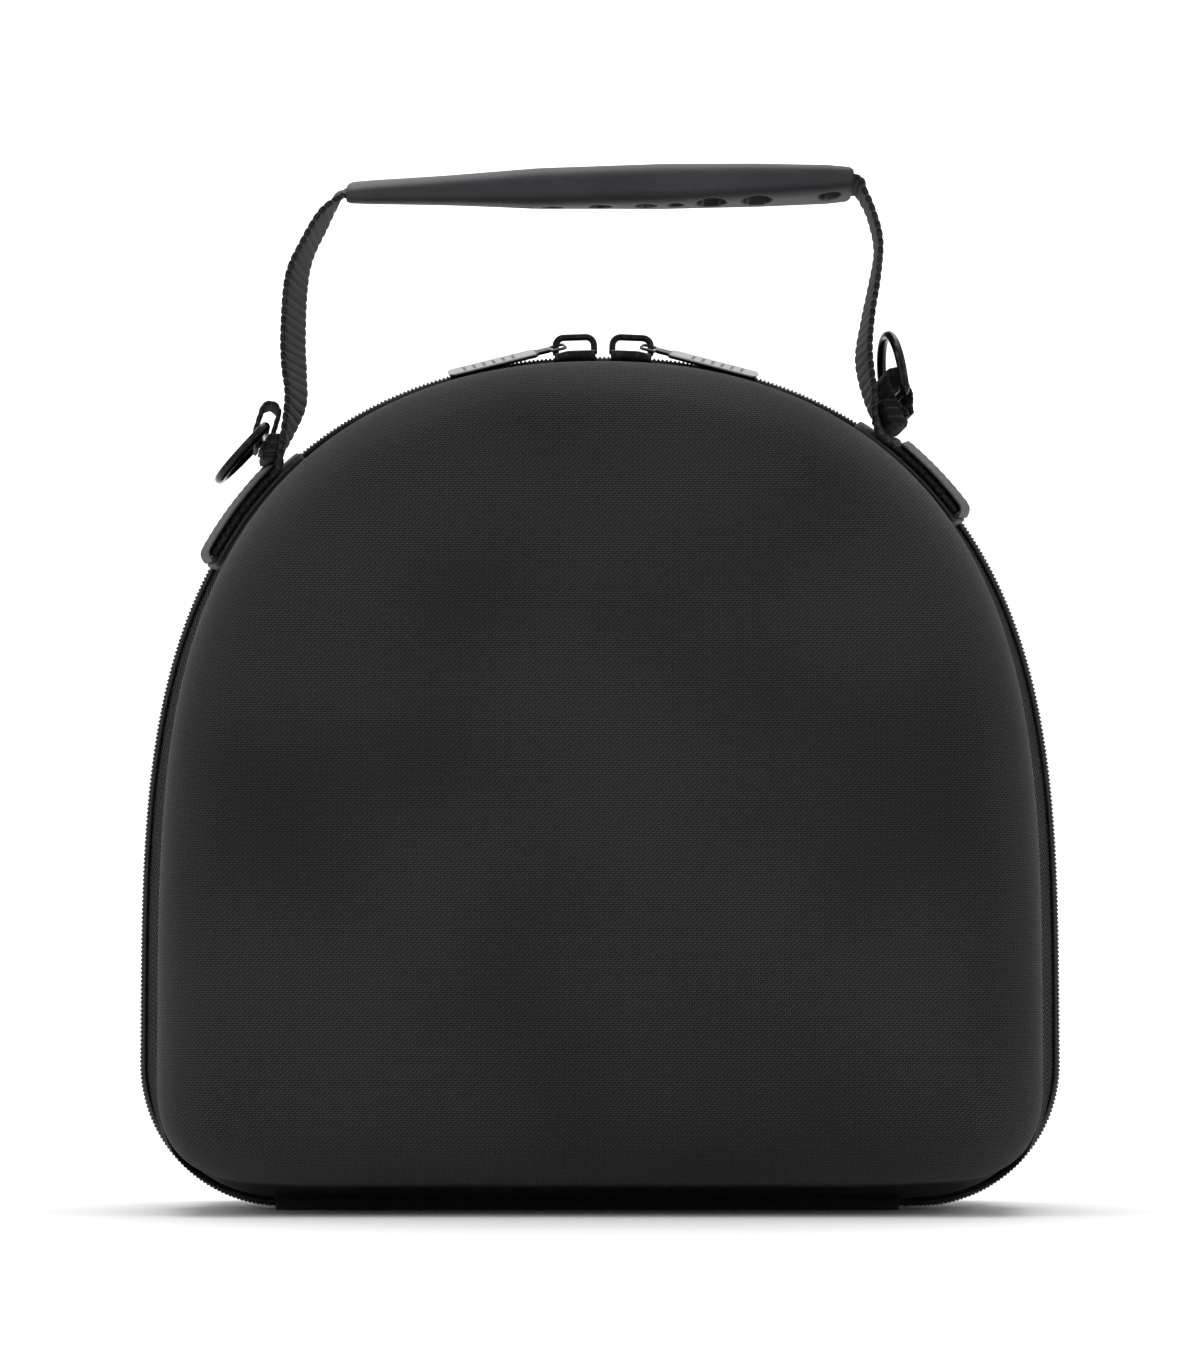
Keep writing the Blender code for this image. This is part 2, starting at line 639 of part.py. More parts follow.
def strap_path(outline, word):
    """Stations of a handle strap: middle, width direction and thickness direction."""
    data = SHOULDERS[word]
    side = data["side"]
    lean = data["lean"]
    start = data["patch_end"] - PATCH_LENGTH
    rows = []
    for s in (data["patch_end"] - 3.0, start + 0.62 * PATCH_LENGTH, start + 0.36 * PATCH_LENGTH, start + 0.2 * PATCH_LENGTH):
        lift = lean_line(outline, side * s, lean, HANDLE_DEPTH) + GAP + WEBBING / 2 / math.cos(math.radians(lean))
        rows.append((outline.place(side * s, lift, -HANDLE_DEPTH), lean))
    lift = lean_line(outline, side * start, lean, HANDLE_DEPTH) + GAP + WEBBING
    base = outline.place(side * (start + 0.09 * PATCH_LENGTH), lift + 1.5, -HANDLE_DEPTH)
    rows.append((base, 0.5 * lean))
    entry, _, _ = grip_frame(side)
    entry = entry + Vector((side * 1.5, 0.0, -0.4))
    chord = entry - base
    outward = Vector((side, 0.0, 0.0))
    for row in STRAP_ROWS[word]:
        point = base + chord * row["rise"] + outward * row["bow"] * STRAP_BULGE
        rows.append((point, row["twist"]))
    rows.append((entry, GRIP_ROLL_DEGREES[word]))
    inside, _, _ = grip_frame(side * (1 - (SLOT_DEPTH - 1.0) / (GRIP_LENGTH / 2)))
    rows.append((mix(inside, entry, 0.5), GRIP_ROLL_DEGREES[word]))
    rows.append((inside, GRIP_ROLL_DEGREES[word]))
    return rows


def smooth_rows(rows, steps):
    """A smooth curve through the rows, as (point, angle) with `steps` pieces a span."""
    out = []
    for i in range(len(rows) - 1):
        chain = [rows[max(i - 1, 0)], rows[i], rows[i + 1], rows[min(i + 2, len(rows) - 1)]]
        for k in range(steps):
            t = k / steps
            w = (-0.5 * t + t * t - 0.5 * t ** 3, 1 - 2.5 * t * t + 1.5 * t ** 3,
                 0.5 * t + 2 * t * t - 1.5 * t ** 3, -0.5 * t * t + 0.5 * t ** 3)
            point = sum((chain[j][0] * w[j] for j in range(4)), Vector())
            out.append((point, sum(chain[j][1] * w[j] for j in range(4))))
    out.append(rows[-1])
    return out


def build_strap(outline, word, looks, group):
    """Webbing sewn on the patch, standing up and bowing out to the grip."""
    side = SHOULDERS[word]["side"]
    rows = smooth_rows(strap_path(outline, word), 2)
    loops = []
    for i, (point, angle) in enumerate(rows):
        way = (rows[min(i + 1, len(rows) - 1)][0] - rows[max(i - 1, 0)][0]).normalized()
        outward = Vector((side * way.z, 0.0, -side * way.x))
        turn = math.radians(angle)
        wide = Vector((0.0, math.cos(turn), 0.0)) + outward * math.sin(turn)
        thick = outward * math.cos(turn) - Vector((0.0, math.sin(turn), 0.0))
        a = wide * WEBBING_WIDTH / 2
        b = thick * WEBBING / 2
        loops.append([point + a + b, point + a - b, point - a - b, point - a + b])
    loft("strap_" + word, loops, looks["webbing"], group)
    return rows


def flat_piece(name, outlines, thick, look, group, place):
    """A flat outline with its holes, extruded evenly to both sides of its own XY plane."""
    data = bpy.data.curves.new(name, "CURVE")
    data.dimensions = "2D"
    data.fill_mode = "BOTH"
    data.extrude = thick / 2 * MM
    for points in outlines:
        spline = data.splines.new("POLY")
        spline.points.add(len(points) - 1)
        for slot, (x, y) in zip(spline.points, points):
            slot.co = (x * MM, y * MM, 0.0, 1.0)
        spline.use_cyclic_u = True
    data.materials.append(look)
    obj = bpy.data.objects.new(name, data)
    obj.matrix_world = place
    group.objects.link(obj)
    return obj


def loop_frame(outline, word):
    """The ring's bar, and a frame with X up along the loop, Y away from the strap and Z along the bar."""
    data = SHOULDERS[word]
    side = data["side"]
    rows = strap_path(outline, word)
    base = rows[4][0]
    entry = rows[-3][0]
    turn = math.radians(data["loop_turn"])
    reach = math.tan(abs(turn)) * LOOP_WIDTH / 2
    half = RING_WIRE + GAP + 0.1 + LOOP_WEB
    clear = WEBBING / 2 + data["loop_gap"] + half + reach
    bar = base + (entry - base) * LOOP_PLACE + Vector((side * clear, 0.0, 0.0))
    lean = math.radians(data["loop_lean"])
    up = Vector((-side * math.sin(lean), 0.0, math.cos(lean)))
    outward = Vector((side * math.cos(lean), 0.0, math.sin(lean)))
    across = Vector((0.0, math.cos(turn), 0.0)) + outward * math.sin(turn)
    away = outward * math.cos(turn) - Vector((0.0, math.sin(turn), 0.0))
    if up.cross(away).dot(across) < 0:
        across = -across
    frame = Matrix((up, away, across)).transposed().to_4x4()
    frame.translation = bar * MM
    return frame


def build_ring_loop(outline, word, looks, group):
    """A short web folded round the ring's bar, its two layers sewn together below."""
    frame = loop_frame(outline, word)
    hole_r = RING_WIRE + GAP + 0.1
    outer_r = hole_r + LOOP_WEB
    turns = [math.radians(a) for a in (90, 60, 30, 0, -30, -60, -90)]
    top = [(LOOP_SLOT + outer_r * math.cos(a), outer_r * math.sin(a)) for a in turns]
    sewn = LOOP_SEWN
    tail = LOOP_TAIL
    outer = top + [(-1.0, -outer_r), (-sewn, -LOOP_WEB), (-tail, -LOOP_WEB), (-tail, LOOP_WEB), (-sewn, LOOP_WEB),
                   (-1.0, outer_r)]
    hole = [(LOOP_SLOT + hole_r * math.cos(a), hole_r * math.sin(a)) for a in turns]
    hole += [(-hole_r * math.cos(a), -hole_r * math.sin(a)) for a in turns]
    flat_piece("ring_loop_" + word, [outer, hole], LOOP_WIDTH, looks["webbing"], group, frame)


def build_ring(outline, word, looks, group):
    """A D of round wire: its bar lies in the loop, its bow rests at the shoulder's angle."""
    side = SHOULDERS[word]["side"]
    frame = loop_frame(outline, word)
    bar = frame.translation / MM
    across = frame.to_3x3().col[2].normalized()
    rise = math.radians(SHOULDERS[word]["ring_rise"])
    bow = Vector((side * math.cos(rise), 0.0, math.sin(rise)))
    bow = (bow - across * bow.dot(across)).normalized()
    half = RING_WIDTH / 2 - RING_WIRE
    height = RING_HEIGHT - 2 * RING_WIRE
    corner = 1.2
    points = [(-half + corner, 0.0), (half - corner, 0.0), (half - 0.35, 0.35), (half, corner), (half, RING_STRAIGHT)]
    for k in range(1, 12):
        a = math.pi * k / 12
        points.append((half * math.cos(a), RING_STRAIGHT + (height - RING_STRAIGHT) * math.sin(a)))
    points += [(-half, RING_STRAIGHT), (-half, corner), (-half + 0.35, 0.35)]
    points = [bar + across * u + bow * v for u, v in points]
    wire("d_ring_" + word, points, RING_WIRE, looks["ring"], group, closed=True, origin=bar)


def build_scene():
    clear_scene()
    group = collection("cap_carrier_case")
    cutters = collection("cutters")
    looks = {
        "shell": material("shell_fabric", "2a2a2b", 0.8),
        "tape": material("zip_tape", "1b1a1a", 0.85),
        "coil": material("zip_coil", "191817", 0.45),
        "hinge": material("hinge_cloth", "121212", 0.85),
        "slider": material("slider_enamel", "1e1e20", 0.35, 0.5),
        "pull": material("pull_metal", "b9bbbd", 0.3, 1.0),
        "patch": material("patch_leatherette", "232324", 0.6),
        "webbing": material("webbing", "1f1f20", 0.8),
        "grip": material("grip_rubber", "2c2d2f", 0.7),
        "ring": material("ring_enamel", "1c1d1f", 0.3, 0.6),
    }
    outline = Outline()
    half = list(outline.stations())
    right_end = outline.of_flat(HINGE_RIGHT)
    left_end = -outline.of_flat(HINGE_LEFT)
    right = sorted([s for s in half if abs(s - right_end) > 3.0] + [right_end - 1.0, right_end])
    left = sorted([s for s in half if abs(s - left_end) > 3.0] + [left_end - 1.0, left_end])
    loop_stations = right + [-s for s in reversed(left[1:-1])]
    zip_stations = [s for s in reversed(right) if s <= right_end - 1.0]
    zip_stations += [-s for s in left[1:] if s <= left_end - 1.0]
    build_shells(outline, loop_stations, looks, group)
    build_zip(outline, zip_stations, looks, group)
    build_hinge(outline, looks, group)
    for word, side in (("left", -1.0), ("right", 1.0)):
        build_slider(outline, "slider_" + word, side, looks, group, cutters)
        build_pull(outline, "pull_" + word, side, looks, group)
        build_patch(outline, word, looks, group)
        build_strap(outline, word, looks, group)
        build_ring_loop(outline, word, looks, group)
        build_ring(outline, word, looks, group)
    build_grip(looks, group, cutters)


build_scene()
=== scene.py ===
"""Looks of a domed carrier case for baseball caps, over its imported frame.

Sizes here are in millimetres and are scaled to metres as each mesh is made. The zip's crest follows one outline in
the XZ plane, and most pieces are placed by three numbers: s, the arc length along that outline from the top centre
(positive to the right), lift, the distance outside the outline, and depth, along Y from the parting plane.
"""
import math

import bpy
import numpy as np
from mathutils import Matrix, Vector


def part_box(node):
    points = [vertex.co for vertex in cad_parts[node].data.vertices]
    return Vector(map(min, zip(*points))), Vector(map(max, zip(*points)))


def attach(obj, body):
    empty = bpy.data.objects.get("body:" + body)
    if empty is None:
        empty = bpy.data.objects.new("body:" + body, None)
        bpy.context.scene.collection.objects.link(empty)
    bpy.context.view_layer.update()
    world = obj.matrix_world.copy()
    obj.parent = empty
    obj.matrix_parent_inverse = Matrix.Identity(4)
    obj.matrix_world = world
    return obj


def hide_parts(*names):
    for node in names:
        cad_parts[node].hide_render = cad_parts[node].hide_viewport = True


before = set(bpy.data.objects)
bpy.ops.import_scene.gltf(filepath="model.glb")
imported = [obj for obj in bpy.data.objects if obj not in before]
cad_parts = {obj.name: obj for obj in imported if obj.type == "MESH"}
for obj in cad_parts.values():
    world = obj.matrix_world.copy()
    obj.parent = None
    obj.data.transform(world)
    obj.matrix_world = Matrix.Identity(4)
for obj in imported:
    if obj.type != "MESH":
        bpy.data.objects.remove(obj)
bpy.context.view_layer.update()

MM = 0.001
BODY = "case"


def node_size(node):
    """Lowest corner, highest corner and extent of a CAD node, in mm."""
    low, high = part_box(node)
    low = np.array(low) / MM
    high = np.array(high) / MM
    return low, high, high - low


COIL_LOW, COIL_HIGH, COIL_SIZE = node_size("front_zip_coil")
SHELL_LOW, SHELL_HIGH, SHELL_SIZE = node_size("front_shell")
HINGE_LOW, HINGE_HIGH, HINGE_SIZE = node_size("hinge_strip")

CASE_WIDTH = 290.0
CASE_HEIGHT = 270.0
CASE_DEPTH = 164.0
DOME_START = 54.0
DOME_ROUND = 2.15
DOME_POINT = 3.35
CORNER_RADIUS = 45.0
CREST_LIFT = 0.5
WALL = 4.0
PARTING = 0.6
RIDGE_HEIGHT = 9.4
RIDGE_DEPTH = 11.5
DRAFT_DEGREES = 2.6
FOOT_HALF = 18.0
FOOT_RISE = 3.9
FOOT_DRAFT_DEGREES = 3.6
CORNER_FILL = 4.1
RIM_FILL = 0.3
FRONT_RADIUS = 22.0
FACE_CROWN = 2.4
GAP = 0.3
COIL_RADIUS = 1.1
COIL_OFFSET = 1.4
TAPE = 0.9
TAPE_REACH = 10.6
CREST_EDGE = 1.9
HINGE = 2.6
HINGE_WING = 5.6
SLIDER_CENTRE = 8.9
SLIDER_MIDDLE = 1.0
SLIDER_PLATE = 1.2
BRIDGE_LENGTH = 14.0
BRIDGE_RISE = 5.8
BRIDGE_STRAP = 1.8
BRIDGE_HOLLOW = 1.75
PULL_LENGTH = 38.0
PULL_PLATE = 28.0
PULL_WIDTH = 8.6
PULL_THICK = 1.2
PULL_REST = -0.2
PULL_ROLL_DEGREES = 25.0
PULL_YAW_DEGREES = 6.5

HANDLE_DEPTH = 19.0
WEBBING_WIDTH = 25.0
WEBBING = 2.4
PATCH_LENGTH = 46.0
PATCH_WIDTH = 28.0
PATCH_EDGE = 1.3
PATCH_CORNER = 4.0
GRIP_LENGTH = 158.0
GRIP_WIDTH = 29.0
GRIP_HEIGHT = 11.6
GRIP_CENTRE = 320.3
GRIP_TILT_DEGREES = 0.95
GRIP_CROWN = 0.3
SLOT_DEPTH = 16.0
STRAP_BULGE = 8.2

RING_WIRE = 1.5
RING_WIDTH = 31.0
RING_HEIGHT = 23.5
RING_STRAIGHT = 6.0
LOOP_WIDTH = 20.0
LOOP_WEB = 1.7
LOOP_SLOT = 5.5
LOOP_SEWN = 5.6
LOOP_TAIL = 7.0
LOOP_PLACE = 0.08

# each shoulder as in the CAD, and where its cover's free end lies, as a share of the patch from its start
SHOULDERS = {
    "left": dict(side=-1.0, patch_end=149.5, lean=13.0, ring_rise=-47.0, loop_lean=17.0, loop_turn=6.5,
                 loop_gap=0.6, cover=0.20),
    "right": dict(side=1.0, patch_end=132.5, lean=14.0, ring_rise=98.0, loop_lean=22.0, loop_turn=-8.5,
                  loop_gap=0.3, cover=0.34),
}
# the straps between patch and grip: shares of rise and outward bow, and twist in degrees
STRAP_ROWS = {
    "left": ((0.19, -0.10, -8.0), (0.32, 0.25, -12.0), (0.45, 0.60, -11.5), (0.65, 0.97, -9.5), (0.78, 0.90, -3.0),
             (0.90, 0.56, 0.0), (0.965, 0.23, 8.0)),
    "right": ((0.10, -0.15, -2.0), (0.27, -0.27, -6.0), (0.43, 0.00, -4.0), (0.58, 0.36, -2.5), (0.74, 0.65, 1.0),
              (0.87, 0.50, 3.0), (0.95, 0.26, 3.0)),
}
GRIP_ROLL_DEGREES = {"left": 16.0, "right": 0.0}
# the grip's sections: place along the half length, height and width as shares
GRIP_ROWS = ((-1.0, 0.46, 0.86), (-0.985, 0.54, 0.94), (-0.90, 0.62, 0.97), (-0.62, 0.80, 1.0), (-0.25, 1.07, 1.0),
             (0.25, 1.12, 1.0), (0.62, 1.0, 1.0), (0.90, 0.82, 0.97), (0.985, 0.68, 0.94), (1.0, 0.56, 0.86))

TOOTH_PITCH = 1.33       # coil pitch counted along the silhouette
RIB_PITCH = 2.8          # weft ribs of the webbing
STITCH_PITCH = 2.6
COVER = 1.1              # leatherette cover folded over the strap's end


# Outline of the zip's crest, sampled densely

def outline_table():
    """Half outline: a superellipse-like dome (half width = W (1 - t^q)^(1/p)), then a corner arc and the flat."""
    half = CASE_WIDTH / 2
    u = np.radians(np.linspace(0.0, 90.0, 721))
    x = half * np.sin(u) ** (2 / DOME_ROUND)
    z = DOME_START + (CASE_HEIGHT - DOME_START) * np.cos(u) ** (2 / DOME_POINT)
    a = np.radians(np.linspace(0.0, 90.0, 181))
    flat_x = np.linspace(half - CORNER_RADIUS, 0.0, 200)[1:]
    x = np.concatenate([x, half - CORNER_RADIUS * (1 - np.cos(a)), flat_x])
    z = np.concatenate([z, CREST_LIFT + CORNER_RADIUS * (1 - np.sin(a)), np.full(len(flat_x), CREST_LIFT)])
    keep = np.concatenate([[True], np.hypot(np.diff(x), np.diff(z)) > 1e-6])
    x = x[keep]
    z = z[keep]
    s = np.concatenate([[0.0], np.cumsum(np.hypot(np.diff(x), np.diff(z)))])
    tx = np.gradient(x, s)
    tz = np.gradient(z, s)
    tx[0] = 1.0
    tz[0] = 0.0
    size = np.hypot(tx, tz)
    return s, x, z, tx / size, tz / size


OUT_S, OUT_X, OUT_Z, OUT_TX, OUT_TZ = outline_table()
LENGTH = OUT_S[-1]


def outline(s):
    """Point, outward normal and forward tangent at arc lengths s, each an array (..., 2) of x and z."""
    s = np.asarray(s, float)
    side = np.where(s < 0, -1.0, 1.0)
    r = np.abs(s)
    x = np.interp(r, OUT_S, OUT_X) * side
    z = np.interp(r, OUT_S, OUT_Z)
    tx = np.interp(r, OUT_S, OUT_TX)
    tz = np.interp(r, OUT_S, OUT_TZ)
    size = np.hypot(tx, tz)
    tx = tx / size
    tz = tz / size
    point = np.stack([x, z], -1)
    normal = np.stack([-side * tz, tx], -1)
    tangent = np.stack([tx, tz * side], -1)
    return point, normal, tangent


def place(s, lift, depth):
    """Points in mm: the outline at s moved outward by lift, at Y = depth."""
    s, lift, depth = np.broadcast_arrays(np.asarray(s, float), lift, depth)
    p, n, _ = outline(s)
    return np.stack([p[..., 0] + n[..., 0] * lift, depth, p[..., 1] + n[..., 1] * lift], -1)


def smooth(t):
    t = np.clip(t, 0.0, 1.0)
    return t * t * (3 - 2 * t)


def footing(s):
    """0 along the sides and the dome, 1 on the flat bottom."""
    _, n, _ = outline(s)
    return np.where(n[..., 1] < 0, smooth(n[..., 1] ** 2), 0.0)


def lip_inset(s, run=1.0):
    """Inset of the shells' lip: under coil and tape, or under the hinge, changing over a run in mm."""
    zip_lip = 2 * COIL_RADIUS + TAPE + 2 * GAP
    hinge_lip = HINGE + GAP - CREST_LIFT
    end = np.where(s > 0, LENGTH - HINGE_HIGH[0], LENGTH + HINGE_LOW[0])
    past = smooth((np.abs(s) - end + (1.0 + run) / 2) / run)
    return zip_lip + (hinge_lip - zip_lip) * past


def corner_fill(s):
    """How much less the walls are inset in the lower corners."""
    _, n, _ = outline(s)
    return np.where(n[..., 1] < 0, CORNER_FILL * (2 * n[..., 0] * n[..., 1]) ** 2, 0.0)


def wall_rows(s):
    """Corners of the outer profile, lip to face rounding, as arrays (5, n) of insets and depths."""
    foot = footing(s)
    lip = lip_inset(s)
    edge = CASE_DEPTH / 2 - FACE_CROWN - FRONT_RADIUS + 0 * foot
    root_inset = RIDGE_HEIGHT + (lip_inset(s, 40.0) + FOOT_RISE - RIDGE_HEIGHT) * foot - corner_fill(s)
    root_depth = RIDGE_DEPTH + (FOOT_HALF + HINGE_WING - RIDGE_DEPTH) * foot
    draft = np.tan(np.radians(DRAFT_DEGREES + (FOOT_DRAFT_DEGREES - DRAFT_DEGREES) * foot))
    crest = CREST_EDGE + (FOOT_HALF - CREST_EDGE) * foot
    last = root_inset + 0.6 + (edge - root_depth - 3.0) * draft
    insets = np.stack([lip, lip, root_inset, root_inset + 0.6, last])
    depths = np.stack([PARTING + 0 * foot, crest, root_depth, root_depth + 3.0, edge])
    return insets, depths


def surface_inset(s, depth):
    """Inset of the shell's outer surface at a depth, straight between the profile's corners."""
    s, depth = np.broadcast_arrays(np.asarray(s, float), np.asarray(depth, float))
    insets, depths = wall_rows(s)
    out = np.where(depth <= depths[0], insets[0], insets[-1])
    for k in range(4):
        t = np.clip((depth - depths[k]) / (depths[k + 1] - depths[k]), 0.0, 1.0)
        inside = (depth >= depths[k]) & (depth <= depths[k + 1])
        out = np.where(inside, insets[k] + (insets[k + 1] - insets[k]) * t, out)
    return out


# Meshes from arrays

def grid_faces(rows, cols, wrap_rows, wrap_cols):
    """Corner indices (faces, 4) of a grid, and the same without the wrap for its UV map."""
    r = np.arange(rows if wrap_rows else rows - 1)
    c = np.arange(cols if wrap_cols else cols - 1)
    r, c = np.meshgrid(r, c, indexing="ij")
    rr = np.stack([r, r, r + 1, r + 1], -1).reshape(-1, 4)
    cc = np.stack([c, c + 1, c + 1, c], -1).reshape(-1, 4)
    return (rr % rows) * cols + cc % cols, rr, cc


def surface(name, points, look, wrap_rows=False, wrap_cols=True, uv=None, caps=(False, False), flip=False, body=BODY,
            fan_lift=None):
    """A mesh from a grid of points (rows, cols, 3) in mm; caps close its first and last rows with a fan.

    uv holds (rows + 1, cols + 1, 2) or (rows, cols + 1, 2) values in mm, one column past the seam.
    """
    rows, cols = points.shape[:2]
    faces, rr, cc = grid_faces(rows, cols, wrap_rows, wrap_cols)
    verts = points.reshape(-1, 3)
    polys = [faces if not flip else faces[:, ::-1]]
    uv_rows = [rr if not flip else rr[:, ::-1]]
    uv_cols = [cc if not flip else cc[:, ::-1]]
    fans = []
    extra = []
    ring = np.arange(cols)
    for end, wanted in zip((0, rows - 1), caps):
        if not wanted:
            continue
        extra.append(points[end].mean(0))
        if fan_lift:
            extra[-1] = extra[-1] + np.array(fan_lift[0 if end == 0 else 1])
        middle = len(verts) + len(extra) - 1
        here = end * cols + ring
        ahead = end * cols + (ring + 1) % cols
        fan = np.stack([ahead, here, np.full(cols, middle)], -1)
        if (end != 0) != flip:
            fan = fan[:, ::-1]
        fans.append((fan, end))
    if extra:
        verts = np.concatenate([verts, np.array(extra)])
    loops = np.concatenate([polys[0].ravel()] + [f.ravel() for f, _ in fans])
    counts = np.concatenate([np.full(len(polys[0]), 4)] + [np.full(len(f), 3) for f, _ in fans]).astype(int)
    mesh = bpy.data.meshes.new(name)
    mesh.vertices.add(len(verts))
    mesh.vertices.foreach_set("co", (verts * MM).astype(np.float32).ravel())
    mesh.loops.add(len(loops))
    mesh.loops.foreach_set("vertex_index", loops.astype(np.int32))
    mesh.polygons.add(len(counts))
    starts = np.concatenate([[0], np.cumsum(counts)[:-1]])
    mesh.polygons.foreach_set("loop_start", starts.astype(np.int32))
    if uv is not None:
        layer = mesh.uv_layers.new(name="UVMap")
        flat = uv[uv_rows[0].ravel(), uv_cols[0].ravel()]
        for fan, end in fans:
            inside = fan - end * cols
            fan_uv = np.where((fan < rows * cols)[..., None], uv[end, np.clip(inside, 0, cols - 1)], uv[end].mean(0))
            flat = np.concatenate([flat, fan_uv.reshape(-1, 2)])
        layer.data.foreach_set("uv", flat.astype(np.float32).ravel())
    mesh.update()
    mesh.validate()
    mesh.shade_smooth()
    mesh.materials.append(look)
    obj = bpy.data.objects.new(name, mesh)
    bpy.context.scene.collection.objects.link(obj)
    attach(obj, body)
    return obj


def copies(name, template, faces, places, look, body=BODY):
    """Many copies of one small shape: template (k, 3) carried by frames (n, 4, 3) of origin and three axes."""
    verts = places[:, None, 0] + np.einsum("ka,nab->nkb", template, places[:, 1:4])
    n, k = verts.shape[:2]
    index = faces[None] + (np.arange(n) * k)[:, None, None]
    mesh = bpy.data.meshes.new(name)
    mesh.from_pydata((verts.reshape(-1, 3) * MM).tolist(), [], index.reshape(-1, faces.shape[1]).tolist())
    mesh.update()
    mesh.shade_smooth()
    mesh.materials.append(look)
    obj = bpy.data.objects.new(name, mesh)
    bpy.context.scene.collection.objects.link(obj)
    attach(obj, body)
    return obj


def bead(rings, sides, long=1.0, wide=1.0, tall=1.0, power=1.0):
    """Ellipsoid template along its first axis, its poles closed with narrow rings; power < 1 squares its ends."""
    t = np.linspace(-1.0, 1.0, rings)
    r = np.sqrt(np.clip(1 - t ** 2, 0.0025, 1.0)) ** power
    a = np.linspace(0, 2 * np.pi, sides, endpoint=False)
    x = np.repeat(t[:, None], sides, 1) * long
    y = r[:, None] * np.cos(a) * wide
    z = r[:, None] * np.sin(a) * tall
    points = np.stack([x, y, z], -1).reshape(-1, 3)
    faces, _, _ = grid_faces(rings, sides, False, True)
    ends = [list(range(sides))[::-1], [(rings - 1) * sides + i for i in range(sides)]]
    quads = [list(f) for f in faces[:, ::-1]]
    tips = []
    for end in ends:
        for i in range(1, sides - 2, 2):
            tips.append([end[0], end[i], end[i + 1], end[i + 2]])
    return points, np.array(quads + [t for t in tips if len(t) == 4])


# Materials

def linear(colour):
    """sRGB hex string to a linear RGBA tuple."""
    parts = [int(colour[i:i + 2], 16) / 255 for i in (0, 2, 4)]
    return (*[p / 12.92 if p <= 0.04045 else ((p + 0.055) / 1.055) ** 2.4 for p in parts], 1.0)


def add(tree, kind, inputs=None, **settings):
    """Adds a node, sets its properties, and sets or links its inputs, named or numbered."""
    made = tree.nodes.new(kind)
    for key, value in settings.items():
        setattr(made, key, value)
    for key, value in (inputs or {}).items():
        socket = made.inputs[key]
        if isinstance(value, bpy.types.NodeSocket):
            tree.links.new(value, socket)
        else:
            socket.default_value = value
    return made


def new_look(name, roughness, metallic=0.0, **sockets):
    """A Principled material with its constants on the shader's own sockets."""
    look = bpy.data.materials.new(name)
    look.use_nodes = True
    tree = look.node_tree
    shader = tree.nodes["Principled BSDF"]
    shader.inputs["Roughness"].default_value = roughness
    shader.inputs["Metallic"].default_value = metallic
    for key, value in sockets.items():
        shader.inputs[key.replace("_", " ")].default_value = value
    return look, tree, shader


def mm_coordinates(tree, source="uv"):
    """Separate X, Y and Z in mm from the piece's UV map (already in mm) or from Object coordinates."""
    coords = add(tree, "ShaderNodeTexCoord")
    if source == "uv":
        split = add(tree, "ShaderNodeSeparateXYZ", {0: coords.outputs["UV"]})
        return split.outputs[0], split.outputs[1], coords.outputs["UV"]
    scaled = add(tree, "ShaderNodeVectorMath", {0: coords.outputs["Object"], 1: (1000, 1000, 1000)}, operation="MULTIPLY")
    split = add(tree, "ShaderNodeSeparateXYZ", {0: scaled.outputs[0]})
    return split.outputs[0], split.outputs[2], scaled.outputs[0]


def wave(tree, value, pitch, phase=0.0):
    """0 to 1 sine of a length in mm with the given pitch."""
    turn = add(tree, "ShaderNodeMath", {0: value, 1: 2 * math.pi / pitch, 2: phase}, operation="MULTIPLY_ADD")
    sine = add(tree, "ShaderNodeMath", {0: turn.outputs[0]}, operation="SINE")
    return add(tree, "ShaderNodeMath", {0: sine.outputs[0], 1: 0.5, 2: 0.5}, operation="MULTIPLY_ADD").outputs[0]


def tint(tree, shader, factor, dark, light):
    mixed = add(tree, "ShaderNodeMix", {0: factor, 6: linear(dark), 7: linear(light)}, data_type="RGBA")
    tree.links.new(mixed.outputs[2], shader.inputs["Base Color"])


def relief(tree, shader, height, distance_mm, strength=1.0):
    bump = add(tree, "ShaderNodeBump", {"Height": height, "Strength": strength, "Distance": distance_mm * MM})
    tree.links.new(bump.outputs[0], shader.inputs["Normal"])


def woven_polyester():
    """Black polyester plain weave laminated to foam: matt, with a faint grid of threads and a soft sheen at the rim.

    The real threads lie about 0.4 mm apart; they are drawn 0.7 mm apart so that they show.
    """
    look, tree, shader = new_look("woven polyester", 0.82, Sheen_Weight=0.12, Sheen_Roughness=0.4, Specular_IOR_Level=0.25)
    shader.inputs["Sheen Tint"].default_value = linear("b9bcc0")
    u, v, uv = mm_coordinates(tree)
    pitch = 0.7
    warp = wave(tree, u, pitch)
    weft = wave(tree, v, pitch)
    over = wave(tree, u, 2 * pitch)
    over_v = wave(tree, v, 2 * pitch)
    check = add(tree, "ShaderNodeMath", {0: over, 1: over_v}, operation="COMPARE")
    check.inputs[2].default_value = 0.5
    threads = add(tree, "ShaderNodeMix", {0: check.outputs[0], 2: warp, 3: weft})
    slubs = add(tree, "ShaderNodeTexNoise", {"Vector": uv, "Scale": 1.1, "Detail": 4.0, "Roughness": 0.8})
    cloud = add(tree, "ShaderNodeTexNoise", {"Vector": uv, "Scale": 0.012, "Detail": 1.0})
    blend = add(tree, "ShaderNodeMath", {0: threads.outputs[0], 1: slubs.outputs[0]}, operation="MULTIPLY")
    blend = add(tree, "ShaderNodeMath", {0: blend.outputs[0], 1: cloud.outputs[0]}, operation="MULTIPLY")
    shade = add(tree, "ShaderNodeMapRange", {0: blend.outputs[0], 1: 0.03, 2: 0.24})
    tint(tree, shader, shade.outputs[0], "040404", "343435")
    relief(tree, shader, blend.outputs[0], 0.5, 1.0)
    return look


